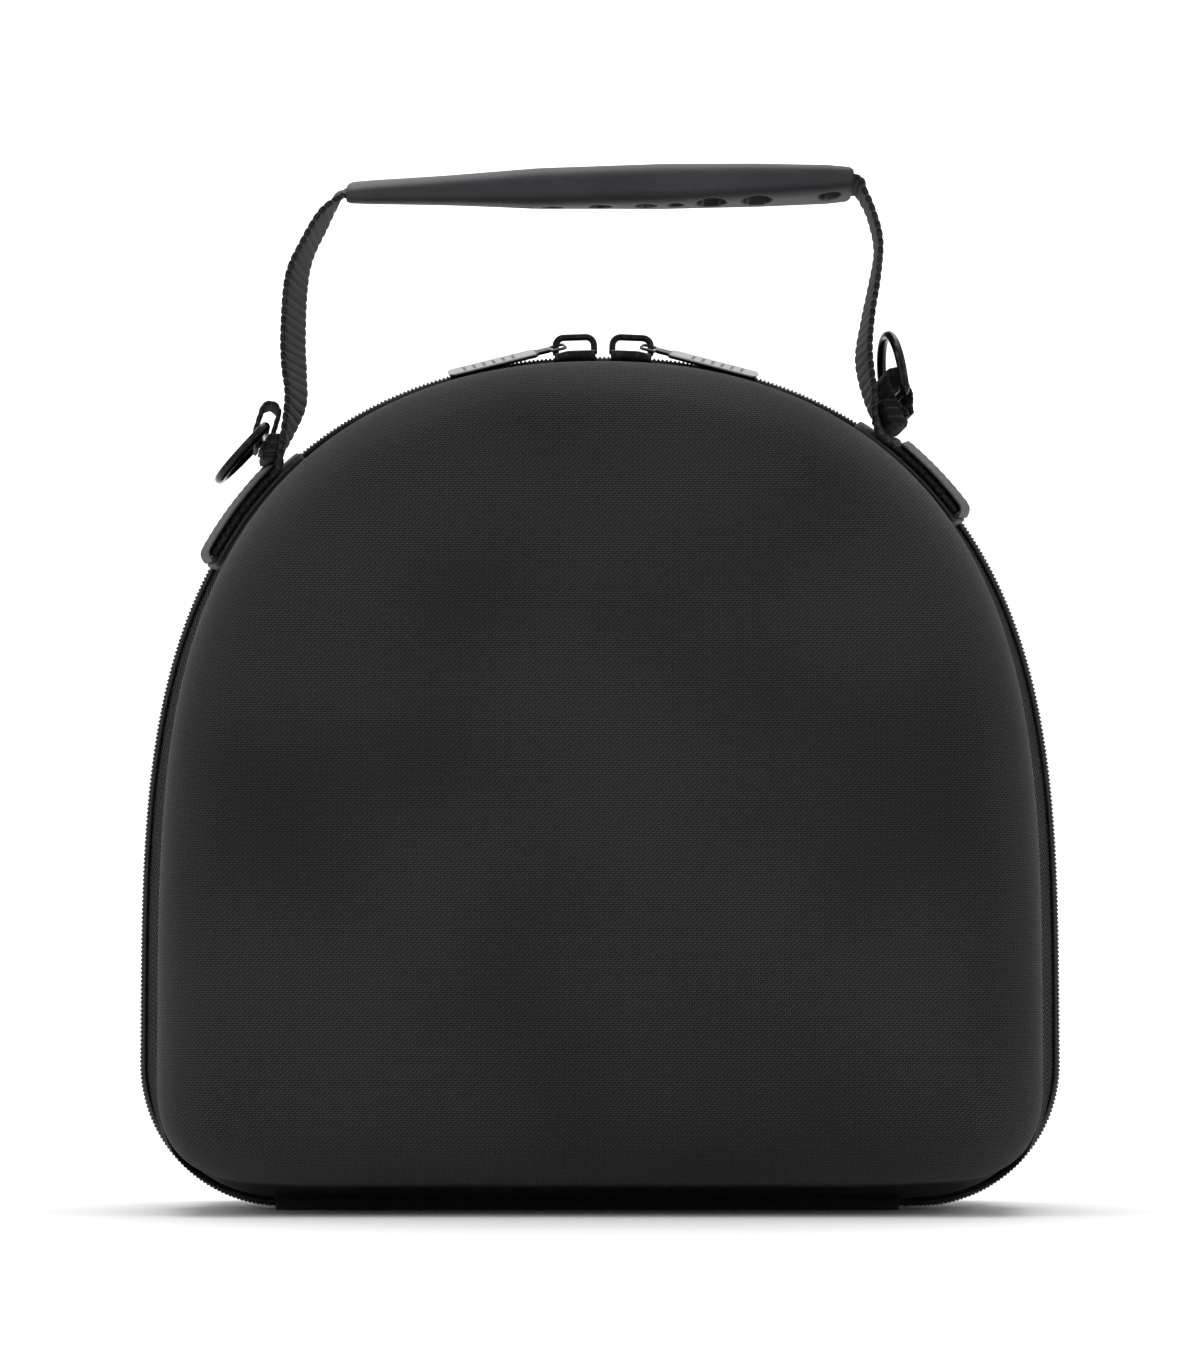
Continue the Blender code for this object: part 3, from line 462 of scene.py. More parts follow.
def herringbone_tape():
    """Black polyester zip tape in herringbone twill: chevrons 2.6 mm wide, with painted shadow where it dips under the
    shell.

    The real ribs lie about 1 mm apart; they are drawn 1.5 mm apart so that they show.
    """
    look, tree, shader = new_look("herringbone zip tape", 0.8, Specular_IOR_Level=0.15)
    u, v, uv = mm_coordinates(tree)
    column = add(tree, "ShaderNodeMath", {0: v, 1: 2.6}, operation="PINGPONG")
    slant = add(tree, "ShaderNodeMath", {0: column.outputs[0], 1: 1.1, 2: u}, operation="MULTIPLY_ADD")
    ribs = wave(tree, slant.outputs[0], 1.5)
    fluff = add(tree, "ShaderNodeTexNoise", {"Vector": uv, "Scale": 1.1, "Detail": 3.0})
    # painted shadow: the tape's colour darkens from 8 mm to 9.4 mm across it, and is darkest beyond, where the shell's
    # edge shades it
    inner = add(tree, "ShaderNodeMapRange", {0: v, 1: 9.4, 2: 8.0})
    both = add(tree, "ShaderNodeMath", {0: ribs, 1: fluff.outputs[0]}, operation="MULTIPLY")
    both = add(tree, "ShaderNodeMath", {0: both.outputs[0], 1: inner.outputs[0]}, operation="MULTIPLY")
    shade = add(tree, "ShaderNodeMapRange", {0: both.outputs[0], 1: 0.08, 2: 0.5})
    tint(tree, shader, shade.outputs[0], "020202", "4a4947")
    relief(tree, shader, ribs, 0.35, 1.0)
    return look


def nylon_coil():
    """Black nylon monofilament: semi-gloss, faintly brown where it catches the light."""
    look, tree, shader = new_look("nylon coil", 0.38, Specular_IOR_Level=0.5)
    _, _, where = mm_coordinates(tree, "object")
    dirt = add(tree, "ShaderNodeTexNoise", {"Vector": where, "Scale": 0.4, "Detail": 2.0})
    tint(tree, shader, dirt.outputs[0], "141210", "262220")
    relief(tree, shader, dirt.outputs[0], 0.05, 0.3)
    return look


def hinge_cloth():
    """Black folded polyester cloth, very dark, with a fine plain weave."""
    look, tree, shader = new_look("folded hinge cloth", 0.9, Sheen_Weight=0.15, Specular_IOR_Level=0.2)
    u, v, where = mm_coordinates(tree, "object")
    warp = wave(tree, u, 0.9)
    slubs = add(tree, "ShaderNodeTexNoise", {"Vector": where, "Scale": 1.0, "Detail": 3.0})
    both = add(tree, "ShaderNodeMath", {0: warp, 1: slubs.outputs[0]}, operation="MULTIPLY")
    tint(tree, shader, both.outputs[0], "090909", "1c1c1c")
    relief(tree, shader, both.outputs[0], 0.1, 0.6)
    return look


def black_enamel(name="black enamel", light="3a3b3e", roughness=0.3, metallic=0.7):
    """Black enamelled zinc casting: satin, with small wear that shows lighter."""
    look, tree, shader = new_look(name, roughness, metallic)
    _, _, where = mm_coordinates(tree, "object")
    wear = add(tree, "ShaderNodeTexNoise", {"Vector": where, "Scale": 0.5, "Detail": 4.0, "Roughness": 0.7})
    shade = add(tree, "ShaderNodeMapRange", {0: wear.outputs[0], 1: 0.45, 2: 0.75})
    tint(tree, shader, shade.outputs[0], "17171a", light)
    relief(tree, shader, wear.outputs[0], 0.02, 0.3)
    return look


def brushed_steel():
    """Bright satin steel, brushed along its length."""
    look, tree, shader = new_look("satin steel", 0.28, 1.0)
    u, _, where = mm_coordinates(tree, "object")
    stretched = add(tree, "ShaderNodeVectorMath", {0: where, 1: (0.15, 3.0, 3.0)}, operation="MULTIPLY")
    lines = add(tree, "ShaderNodeTexNoise", {"Vector": stretched.outputs[0], "Scale": 1.0, "Detail": 3.0})
    tint(tree, shader, lines.outputs[0], "4a4b4d", "7c7d80")
    relief(tree, shader, lines.outputs[0], 0.02, 0.4)
    return look


def pull_steel():
    """Satin steel plate with a dark enamelled border and plain dark bars pressed into its face.

    UV is in mm: along the pull from its bar, and across it.
    """
    look, tree, shader = new_look("satin steel plate", 0.3, 1.0)
    u, v, where = mm_coordinates(tree)
    out = add(tree, "ShaderNodeMath", {0: v}, operation="ABSOLUTE")
    border = add(tree, "ShaderNodeMath", {0: out.outputs[0], 1: 3.0}, operation="GREATER_THAN")
    bars = wave(tree, u, 3.2)
    bars = add(tree, "ShaderNodeMath", {0: bars, 1: 0.8}, operation="GREATER_THAN")
    inside = add(tree, "ShaderNodeMath", {0: out.outputs[0], 1: 2.3}, operation="LESS_THAN")
    middle = add(tree, "ShaderNodeMath", {0: u, 1: 24.5, 2: 9.0}, operation="COMPARE")
    bars = add(tree, "ShaderNodeMath", {0: bars.outputs[0], 1: inside.outputs[0]}, operation="MULTIPLY")
    bars = add(tree, "ShaderNodeMath", {0: bars.outputs[0], 1: middle.outputs[0]}, operation="MULTIPLY")
    neck = add(tree, "ShaderNodeMath", {0: u, 1: 9.6}, operation="LESS_THAN")
    dark = add(tree, "ShaderNodeMath", {0: bars.outputs[0], 1: border.outputs[0]}, operation="MAXIMUM")
    dark = add(tree, "ShaderNodeMath", {0: dark.outputs[0], 1: neck.outputs[0]}, operation="MAXIMUM")
    tint(tree, shader, dark.outputs[0], "8e8f92", "1e1f20")
    relief(tree, shader, dark.outputs[0], -0.15, 0.6)
    return look


def leatherette():
    """Black polyurethane leatherette: fine pebble grain, soft highlights along its edges."""
    look, tree, shader = new_look("leatherette", 0.6, Specular_IOR_Level=0.25)
    _, _, where = mm_coordinates(tree, "object")
    grain = add(tree, "ShaderNodeTexVoronoi", {"Vector": where, "Scale": 0.9}, feature="DISTANCE_TO_EDGE")
    shade = add(tree, "ShaderNodeMapRange", {0: grain.outputs["Distance"], 1: 0.0, 2: 0.35})
    tint(tree, shader, shade.outputs[0], "0b0b0b", "1e1e1f")
    relief(tree, shader, shade.outputs[0], 0.1, 0.5)
    return look


def nylon_webbing():
    """Black nylon webbing: the ribs are in the mesh, and the material adds the warp threads across them."""
    look, tree, shader = new_look("nylon webbing", 0.75, Sheen_Weight=0.05, Specular_IOR_Level=0.22)
    u, v, uv = mm_coordinates(tree)
    warp = wave(tree, v, 0.9)
    valley = wave(tree, u, RIB_PITCH, math.pi / 2)
    line = add(tree, "ShaderNodeMath", {0: valley, 1: 7.0}, operation="POWER")
    slubs = add(tree, "ShaderNodeTexNoise", {"Vector": uv, "Scale": 1.5, "Detail": 4.0, "Roughness": 0.7})
    speck = add(tree, "ShaderNodeMapRange", {0: slubs.outputs[0], 1: 0.42, 2: 0.72})
    both = add(tree, "ShaderNodeMath", {0: warp, 1: speck.outputs[0]}, operation="MULTIPLY")
    both = add(tree, "ShaderNodeMath", {0: line.outputs[0], 1: 0.6, 2: both.outputs[0]}, operation="MULTIPLY_ADD")
    tint(tree, shader, both.outputs[0], "050505", "3c3c3e")
    relief(tree, shader, warp, 0.12, 0.7)
    return look


def moulded_rubber():
    """Dark grey moulded rubber: matt, with a fine spark-eroded mould grain."""
    look, tree, shader = new_look("moulded rubber", 0.62, Specular_IOR_Level=0.35)
    _, _, where = mm_coordinates(tree, "object")
    grain = add(tree, "ShaderNodeTexNoise", {"Vector": where, "Scale": 2.2, "Detail": 3.0})
    cloud = add(tree, "ShaderNodeTexNoise", {"Vector": where, "Scale": 0.05, "Detail": 2.0})
    both = add(tree, "ShaderNodeMath", {0: grain.outputs[0], 1: cloud.outputs[0]}, operation="MULTIPLY")
    shade = add(tree, "ShaderNodeMapRange", {0: both.outputs[0], 1: 0.1, 2: 0.45})
    tint(tree, shader, shade.outputs[0], "222325", "37383b")
    relief(tree, shader, grain.outputs[0], 0.08, 0.5)
    return look


def spun_thread():
    """Black bonded polyester thread, a little glossy."""
    look, tree, shader = new_look("bonded thread", 0.5)
    _, _, where = mm_coordinates(tree, "object")
    twist = add(tree, "ShaderNodeTexNoise", {"Vector": where, "Scale": 2.0})
    tint(tree, shader, twist.outputs[0], "2a2a2b", "525254")
    return look


# Pieces

def shell(side, look):
    """One moulded half: rings of the outline, offset inward along the profile and scaled on the crowned face.

    Row by row: the face's rings shrink toward the middle with depth = rim + crown (1 - share^2); then a quarter
    circle; then the wall, fillet, flange and lip; then the same back on the inside, one wall thickness in.
    """
    turn = np.concatenate([[0.0], np.cumsum(np.abs(np.diff(np.unwrap(np.arctan2(OUT_TZ, OUT_TX)))))])
    cost = OUT_S / LENGTH + 1.6 * turn / turn[-1]
    half = np.interp(np.linspace(0, cost[-1], 150), cost, OUT_S)
    s = np.concatenate([half, -half[-2:0:-1]])
    p, n, _ = outline(s)
    insets, depths = wall_rows(s)
    edge = depths[-1]

    def ring(inset, depth):
        return np.stack([p[:, 0] - n[:, 0] * inset, depth + 0 * inset, p[:, 1] - n[:, 1] * inset], -1)

    rows = []
    flat = []
    fill = (1 - RIM_FILL) * corner_fill(s)
    middle = insets[-1] + FRONT_RADIUS + fill
    rim = ring(middle, edge + FRONT_RADIUS)
    centre_z = rim[:, 2].mean()
    for share in np.linspace(0.0, 1.0, 26)[1:-1]:
        level = rim.copy()
        level[:, 0] *= share
        level[:, 2] = centre_z + (rim[:, 2] - centre_z) * share
        level[:, 1] = rim[:, 1] + FACE_CROWN * (1 - share ** 2)
        rows.append(level)
        flat.append(level[:, [0, 2]])
    reach = 0.0
    for a in np.radians(np.linspace(90, 0, 19)):
        rows.append(ring(middle - (FRONT_RADIUS + fill) * math.cos(a), edge + FRONT_RADIUS * math.sin(a)))
        flat.append(rim[:, [0, 2]] + n * (FRONT_RADIUS * (math.pi / 2 - a)))
    reach = FRONT_RADIUS * math.pi / 2
    corners_i = insets[::-1]
    corners_d = depths[::-1]
    steps = np.concatenate([np.linspace(0, 1, 18), np.linspace(1, 2, 5)[1:], np.linspace(2, 3, 9)[1:], np.linspace(3, 4, 4)[1:]])
    fine = np.linspace(0, 4, 161)
    dense_i = np.stack([np.interp(fine, range(5), corners_i[:, j]) for j in range(len(s))], 1)
    dense_d = np.stack([np.interp(fine, range(5), corners_d[:, j]) for j in range(len(s))], 1)
    kernel = np.hanning(23)
    kernel /= kernel.sum()
    soft_i = dense_i.copy()
    soft_d = dense_d.copy()
    for j in range(len(s)):
        soft_i[11:-11, j] = np.convolve(dense_i[:, j], kernel, "valid")
        soft_d[11:-11, j] = np.convolve(dense_d[:, j], kernel, "valid")
    for step in steps[1:]:
        k = int(round(step / 4 * 160))
        rows.append(ring(soft_i[k], soft_d[k]))
        flat.append(rim[:, [0, 2]] + n * (reach + step * 12.0))
    rows.append(ring(insets[0] + WALL - 0.8, depths[0]))
    flat.append(flat[-1] + n * 3.0)
    for k in (2, 3, 4):
        rows.append(ring(insets[k] + WALL, depths[k]))
        flat.append(flat[-1] + n * 12.0)
    for a in np.radians((30, 60, 90)):
        inner = FRONT_RADIUS - WALL
        rows.append(ring(middle - (inner + fill) * math.cos(a), edge + inner * math.sin(a)))
        flat.append(flat[-1] + n * 8.0)
    for share in (0.6, 0.25):
        level = rim.copy()
        level[:, 0] *= share
        level[:, 2] = centre_z + (rim[:, 2] - centre_z) * share
        level[:, 1] = rim[:, 1] - WALL + FACE_CROWN * (1 - share ** 2)
        rows.append(level)
        flat.append(level[:, [0, 2]])
    points = np.array(rows)
    points[..., 1] *= side
    uv = np.array(flat)
    uv = np.concatenate([uv, uv[:, :1]], 1)
    name = "moulded_front" if side < 0 else "moulded_back"
    crown = FACE_CROWN * (1 - (1 / 25) ** 2) - FACE_CROWN
    obj = surface(name, points, look, uv=uv, caps=(True, True), flip=side < 0,
                  fan_lift=((0, -side * crown, 0), (0, 0, 0)))
    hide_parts("front_shell" if side < 0 else "back_shell")
    return obj


def zip_ends():
    return LENGTH - HINGE_HIGH[0] - 1.0, -(LENGTH + HINGE_LOW[0] - 1.0)


def tape(side, look):
    """Band of twill on the flange's slope: the flange's surface lifted by the gap, with a rounded outer edge."""
    right, left = zip_ends()
    s = np.linspace(right, left, 900)
    across = np.linspace(PARTING, TAPE_REACH, 15)
    foot = footing(s)
    clear = GAP + 2.4 * foot * (1 - foot) + 0.18 * corner_fill(s)
    low = np.stack([-(surface_inset(s, d) - (GAP if d == PARTING else clear)) for d in across])
    crest = 0.25 * np.exp(-((across - PARTING) / 1.5) ** 2)
    high = low + TAPE - 0.05
    low_row = [place(s, low[k], side * across[k]) for k in range(len(across))]
    high_row = [place(s, high[k], side * across[k]) for k in range(len(across))]
    edge = place(s, (low[-1] + high[-1]) / 2, side * (across[-1] + 0.25))
    loop = low_row + [edge] + high_row[::-1]
    points = np.stack(loop, 1)
    v = np.concatenate([across * 0 - 3.0, [across[-1]], across[::-1], [across[0] * 0 - 3.0]])
    length = np.abs(s - s[0])
    uv = np.stack(np.broadcast_arrays(length[:, None], v[None]), -1)
    name = "twill_tape_front" if side < 0 else "twill_tape_back"
    obj = surface(name, points, look, uv=uv, caps=(True, True), flip=side > 0)
    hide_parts("front_zip_tape" if side < 0 else "back_zip_tape")
    return obj


def coil(side, look):
    """Turns of one coil: squared beads across the crest, one a pitch, half a pitch out of step with the other side."""
    right, left = zip_ends()
    count = int((right - left) / TOOTH_PITCH)
    s = right - 0.5 - (np.arange(count) + (0.5 if side > 0 else 0.0)) * TOOTH_PITCH
    s = s[s > left + 0.5]
    p, n, t = outline(s)
    zero = 0 * s
    origin = place(s, -COIL_RADIUS, side * COIL_OFFSET)
    across = np.stack([zero, zero + side, zero], -1)
    along = np.stack([t[:, 0], zero, t[:, 1]], -1)
    up = np.stack([n[:, 0], zero, n[:, 1]], -1)
    template, faces = bead(7, 8, COIL_OFFSET - 0.12, 0.56, COIL_RADIUS, 0.6)
    places = np.stack([origin, across, along * side, up], 1)
    name = "coil_turns_front" if side < 0 else "coil_turns_back"
    obj = copies(name, template, faces, places, look)
    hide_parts("front_zip_coil" if side < 0 else "back_zip_coil")
    return obj


def blend(a, b, t):
    return a + (b - a) * t


def curve_through(rows, steps):
    """Catmull-Rom curve through rows (n, k): each span blends its four neighbours with cubic weights."""
    padded = np.concatenate([rows[:1], rows, rows[-1:]])
    t = np.linspace(0, 1, steps, endpoint=False)[:, None, None]
    a, b, c, d = (padded[None, i:len(rows) - 1 + i] for i in range(4))
    out = (a * (-0.5 * t + t * t - 0.5 * t ** 3) + b * (1 - 2.5 * t * t + 1.5 * t ** 3)
           + c * (0.5 * t + 2 * t * t - 1.5 * t ** 3) + d * (-0.5 * t * t + 0.5 * t ** 3))
    return np.concatenate([out.transpose(1, 0, 2).reshape(-1, rows.shape[1]), rows[-1:]])


def respaced(rows, step):
    """The same curve with its first three columns evenly spaced, and the length along it."""
    reach = np.concatenate([[0.0], np.cumsum(np.linalg.norm(np.diff(rows[:, :3], axis=0), axis=1))])
    even = np.linspace(0, reach[-1], max(int(reach[-1] / step), 2) + 1)
    return np.stack([np.interp(even, reach, rows[:, k]) for k in range(rows.shape[1])], 1), even


def unit(v):
    return v / np.linalg.norm(v, axis=-1, keepdims=True)


def squared(count, power_x, power_y):
    """Superellipse points: cosine and sine, each with its sign kept and raised to a power."""
    a = 2 * np.pi * (np.arange(count) + 0.5) / count
    c = np.sign(np.cos(a)) * np.abs(np.cos(a)) ** power_x
    h = np.sign(np.sin(a)) * np.abs(np.sin(a)) ** power_y
    return c, h


def sweep(name, middles, wides, thicks, section, look, body=BODY, along=None, around=None, closed=False):
    """Carries a section (rows or one, m, 2) along stations: middle + wide * x + thick * y, with UV in mm."""
    section = np.broadcast_to(section, (len(middles),) + section.shape[-2:])
    points = middles[:, None] + wides[:, None] * section[..., :1] + thicks[:, None] * section[..., 1:]
    if along is None:
        along = np.concatenate([[0.0], np.cumsum(np.linalg.norm(np.diff(middles, axis=0), axis=1))])
    if around is None:
        around = np.concatenate([[0.0], np.cumsum(np.linalg.norm(np.diff(section[0], axis=0), axis=1))])
    around = np.append(around, around[-1] + (around[-1] - around[-2]))
    uv = np.stack(np.broadcast_arrays(along[:, None], around[None]), -1)
    if closed:
        uv = np.concatenate([uv, uv[-1:] + [1.0, 0.0]])
    area = np.cross(np.roll(points, -1, 1)[0] - middles[0], points[0] - middles[0]).sum(0)
    way = middles[1] - middles[0]
    return surface(name, points, look, wrap_rows=closed, uv=uv, caps=(not closed, not closed),
                   flip=float(area @ way) < 0, body=body)


def webbing_band(name, rows, wide, thick, width, thickness, look):
    """Ribbed webbing: a flat band whose two faces swell between its weft ribs and whose selvedges are beaded.

    Half thickness = thickness / 2 (0.60 + 0.40 |sin(pi u / pitch)|); half width gains 0.5 mm on each bead.
    """
    u = np.concatenate([[0.0], np.cumsum(np.linalg.norm(np.diff(rows, axis=0), axis=1))])
    rib = np.abs(np.sin(np.pi * u / RIB_PITCH)) ** 0.6
    bead_edge = np.abs(np.sin(np.pi * u / (RIB_PITCH / 2))) ** 0.8
    c, h = squared(36, 0.25, 0.55)
    half_w = (width / 2 - 0.5 + 0.5 * bead_edge)[:, None]
    half_t = (thickness / 2 * (0.60 + 0.40 * rib))[:, None]
    section = np.stack([c * half_w, h * half_t], -1)
    v = c * width / 2
    return sweep(name, rows, wide, thick, section, look, along=u, around=v)


def lean_lift(s, lean, depth):
    """Lift of a seat's upper face over the crest at a depth, leaning forward by `lean` degrees."""
    slope = math.tan(math.radians(lean))
    wall = HANDLE_DEPTH + PATCH_WIDTH / 2
    high = np.maximum(slope * PATCH_WIDTH - surface_inset(s, wall) + GAP + PATCH_EDGE, 0.4)
    return high - slope * (depth - (HANDLE_DEPTH - PATCH_WIDTH / 2))


def grip_axis(share):
    """Middle of the grip at a share of its half length, with its across and up directions."""
    share = np.asarray(share, float)
    x = share * GRIP_LENGTH / 2
    z = GRIP_CENTRE + x * math.tan(math.radians(GRIP_TILT_DEGREES)) - GRIP_CROWN * share ** 2
    roll = np.radians(blend(GRIP_ROLL_DEGREES["left"], GRIP_ROLL_DEGREES["right"], (share + 1) / 2))
    zero = 0 * share
    middle = np.stack([x, zero - HANDLE_DEPTH, z], -1)
    across = np.stack([zero, np.cos(roll), np.sin(roll)], -1)
    up = np.stack([zero, -np.sin(roll), np.cos(roll)], -1)
    return middle, across, up


def strap_rows(word):
    """Stations of a strap, (n, 4): its middle and its twist in degrees, from the seat up into the grip."""
    data = SHOULDERS[word]
    side = data["side"]
    start = data["patch_end"] - PATCH_LENGTH
    rows = []
    for s in (data["patch_end"] - 3.0, start + 0.62 * PATCH_LENGTH, start + 0.36 * PATCH_LENGTH,
              start + 0.2 * PATCH_LENGTH):
        lift = lean_lift(side * s, data["lean"], HANDLE_DEPTH) + GAP
        lift = lift + WEBBING / 2 / math.cos(math.radians(data["lean"]))
        rows.append([*place(side * s, lift, -HANDLE_DEPTH), data["lean"]])
    lift = lean_lift(side * start, data["lean"], HANDLE_DEPTH) + GAP + WEBBING
    base = place(side * (start + 0.09 * PATCH_LENGTH), lift + 1.5, -HANDLE_DEPTH)
    rows.append([*base, 0.5 * data["lean"]])
    entry = grip_axis(side)[0] + np.array([side * 1.5, 0.0, -0.4])
    for rise, bow, twist in STRAP_ROWS[word]:
        rows.append([*(base + (entry - base) * rise + np.array([side * bow * STRAP_BULGE, 0, 0])), twist])
    inside = grip_axis(side * (1 - (SLOT_DEPTH - 1.0) / (GRIP_LENGTH / 2)))[0]
    turn = GRIP_ROLL_DEGREES[word]
    rows += [[*entry, turn], [*((inside + entry) / 2), turn], [*inside, turn]]
    return np.array(rows, float)


def strap_frames(rows, side):
    """Width and thickness directions along a strap: outward is the way turned in the XZ plane, then twisted."""
    way = unit(np.gradient(rows[:, :3], axis=0))
    outward = np.stack([side * way[:, 2], 0 * way[:, 0], -side * way[:, 0]], -1)
    turn = np.radians(rows[:, 3:4])
    y = np.array([[0.0, 1.0, 0.0]])
    return y * np.cos(turn) + outward * np.sin(turn), outward * np.cos(turn) - y * np.sin(turn)


def strap(word, look):
    """Webbing strap from the seat, bowing out, into the grip's slot."""
    rows, _ = respaced(curve_through(strap_rows(word), 24), 0.35)
    wide, thick = strap_frames(rows, SHOULDERS[word]["side"])
    obj = webbing_band("strap_webbing_" + word, rows[:, :3], wide, thick, WEBBING_WIDTH, WEBBING, look)
    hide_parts("strap_" + word)


def loop_axes(word):
    """The ring's bar, and the loop's up, away and across directions."""
    data = SHOULDERS[word]
    side = data["side"]
    rows = strap_rows(word)
    base = rows[4, :3]
    entry = rows[-3, :3]
    turn = math.radians(data["loop_turn"])
    half = RING_WIRE + GAP + 0.1 + LOOP_WEB
    clear = WEBBING / 2 + data["loop_gap"] + half + math.tan(abs(turn)) * LOOP_WIDTH / 2
    bar = base + (entry - base) * LOOP_PLACE + np.array([side * clear, 0, 0])
    lean = math.radians(data["loop_lean"])
    up = np.array([-side * math.sin(lean), 0, math.cos(lean)])
    outward = np.array([side * math.cos(lean), 0, math.sin(lean)])
    y = np.array([0.0, 1.0, 0.0])
    across = y * math.cos(turn) + outward * math.sin(turn)
    away = outward * math.cos(turn) - y * math.sin(turn)
    if np.cross(up, away) @ across < 0:
        across = -across
    return bar, up, away, across


def ring_loop(word, look):
    """Web folded over the ring's bar: up one side, half round the bar, and down the other to the sewn tail."""
    bar, up, away, across = loop_axes(word)
    middle = RING_WIRE + GAP + 0.1 + LOOP_WEB / 2
    near = LOOP_WEB / 2 + 0.05
    a = np.radians(np.linspace(75, -75, 7))
    path = [(-LOOP_TAIL, near), (-LOOP_SEWN, near), (-2.6, middle * 0.8), (-1.0, middle), (LOOP_SLOT * 0.6, middle)]
    path = path + list(zip(LOOP_SLOT + middle * np.cos(a), middle * np.sin(a)))
    path = np.array(path + [(x, -y) for x, y in path[4::-1]])
    rows, _ = respaced(np.pad(curve_through(path, 10), ((0, 0), (0, 1))), 0.3)
    points = bar + up * rows[:, :1] + away * rows[:, 1:2]
    way = unit(np.gradient(points, axis=0))
    thick = unit(np.cross(way, across))
    wide = np.repeat(across[None], len(points), 0)
    obj = webbing_band("ring_web_" + word, points, wide, thick, LOOP_WIDTH, LOOP_WEB - 0.1, look)
    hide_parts("ring_loop_" + word)


def sewn_layers(word, look):
    """Webbing sewn between a ring loop's tail and its strap: a band whose faces lie on both, along the loop."""
    side = SHOULDERS[word]["side"]
    bar, up, away, across = loop_axes(word)
    rows, _ = respaced(curve_through(strap_rows(word), 24), 0.35)
    t = np.linspace(-LOOP_TAIL - 3.0, -1.5, 24)
    outer = bar + up * t[:, None] - away * LOOP_WEB * 0.6
    order = np.argsort(rows[:, 2])
    inner = np.stack([np.interp(outer[:, 2], rows[order, 2], rows[order, 0]), outer[:, 1], outer[:, 2]], -1)
    thick = outer - inner
    size = np.linalg.norm(thick, axis=1, keepdims=True)
    c, h = squared(32, 0.25, 0.45)
    section = np.stack([c * (LOOP_WIDTH / 2 - 0.4) + 0 * size, h * size / 2 * (0.9 + 0.1 * np.cos(t * 2.2))[:, None]], -1)
    wide = np.repeat(across[None], len(t), 0)
    obj = sweep("sewn_web_layers_" + word, (outer + inner) / 2, wide, unit(thick), section, look, around=c * 10.0)


def d_ring(word, look):
    """D of round wire: a straight bar, rounded corners and a half ellipse, carried by its own body."""
    side = SHOULDERS[word]["side"]
    bar, _, _, across = loop_axes(word)
    rise = math.radians(SHOULDERS[word]["ring_rise"])
    bow = np.array([side * math.cos(rise), 0.0, math.sin(rise)])
    bow = unit(bow - across * (bow @ across))
    half = RING_WIDTH / 2 - RING_WIRE
    height = RING_HEIGHT - 2 * RING_WIRE - RING_STRAIGHT
    a = np.linspace(0, np.pi, 60)
    bend = np.radians(np.linspace(-90, 0, 8))
    corner = 2.0
    u = np.concatenate([half - corner + corner * np.cos(bend), half * np.cos(a),
                        -(half - corner) - corner * np.cos(bend[::-1])])
    v = np.concatenate([corner + corner * np.sin(bend), RING_STRAIGHT + height * np.sin(a),
                        corner + corner * np.sin(bend[::-1])])
    path = np.stack([u, v, 0 * u], -1)
    path = np.concatenate([path, path[:1]])
    rows = respaced(path, 0.5)[0][:-1]
    points = bar + across * rows[:, :1] + bow * rows[:, 1:2]
    way = unit(np.roll(points, -1, 0) - np.roll(points, 1, 0))
    flat = unit(np.cross(across, bow))
    a = np.linspace(0, 2 * np.pi, 16, endpoint=False)
    section = np.stack([np.cos(a), np.sin(a)], -1) * RING_WIRE
    obj = sweep("d_ring_wire_" + word, points, np.cross(way, flat), np.repeat(flat[None], len(points), 0), section,
                look, body=word + "_ring", closed=True)
    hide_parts("d_ring_" + word)


def seat(word, look):
    """Leatherette seat of a strap: the space between the shell and the leaning face, with its near wall in layers.

    The near wall bulges outward once a layer (0.35 |sin|), so the folded edges of leatherette and webbing show.
    """
    data = SHOULDERS[word]
    side = data["side"]
    radius = PATCH_WIDTH / 2
    start = data["patch_end"] - PATCH_LENGTH
    a = np.radians(np.linspace(0, 90, 9))
    low_s = start + PATCH_CORNER * (1 - np.cos(a))
    low_w = 1 - PATCH_CORNER * (1 - np.sin(a)) / radius
    middle = np.linspace(low_s[-1], data["patch_end"] - PATCH_CORNER, 60)[1:-1]
    s = np.concatenate([low_s, middle, data["patch_end"] - PATCH_CORNER * (1 - np.cos(a[::-1]))]) * side
    share = np.concatenate([low_w, np.ones(len(middle)), low_w[::-1]])
    near = HANDLE_DEPTH + radius * share
    far = np.maximum(HANDLE_DEPTH - radius * share, PARTING)
    t = np.linspace(0, 1, 16)[:, None]
    depth = blend(near, far, t)
    cover = np.where(depth > TAPE_REACH + GAP, GAP, 2 * GAP + TAPE) + 0.05
    under = np.stack([place(s, -surface_inset(s, depth[k]) + cover[k], -depth[k]) for k in range(16)])
    over = np.stack([place(s, lean_lift(s, data["lean"], depth[k]), -depth[k]) for k in range(15, -1, -1)])
    w = np.linspace(0, 1, 20)[1:-1, None, None]
    wall = blend(over[-1:], under[:1], w)
    outward = np.array([0.0, -1.0, 0.0])
    wall = wall + outward * 0.35 * np.abs(np.sin(w * np.pi * 3))
    points = np.concatenate([under, over, wall]).transpose(1, 0, 2)
    rows = np.abs(s - s[0])
    round_uv = np.concatenate([np.arange(16), 20 + np.arange(16), 40 + 18 * w.ravel(), [60.0]])
    uv = np.stack(np.broadcast_arrays(rows[:, None], round_uv[None]), -1)
    obj = surface("leatherette_seat_" + word, points, look, uv=uv, caps=(True, True), flip=side < 0)
    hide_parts("patch_" + word)


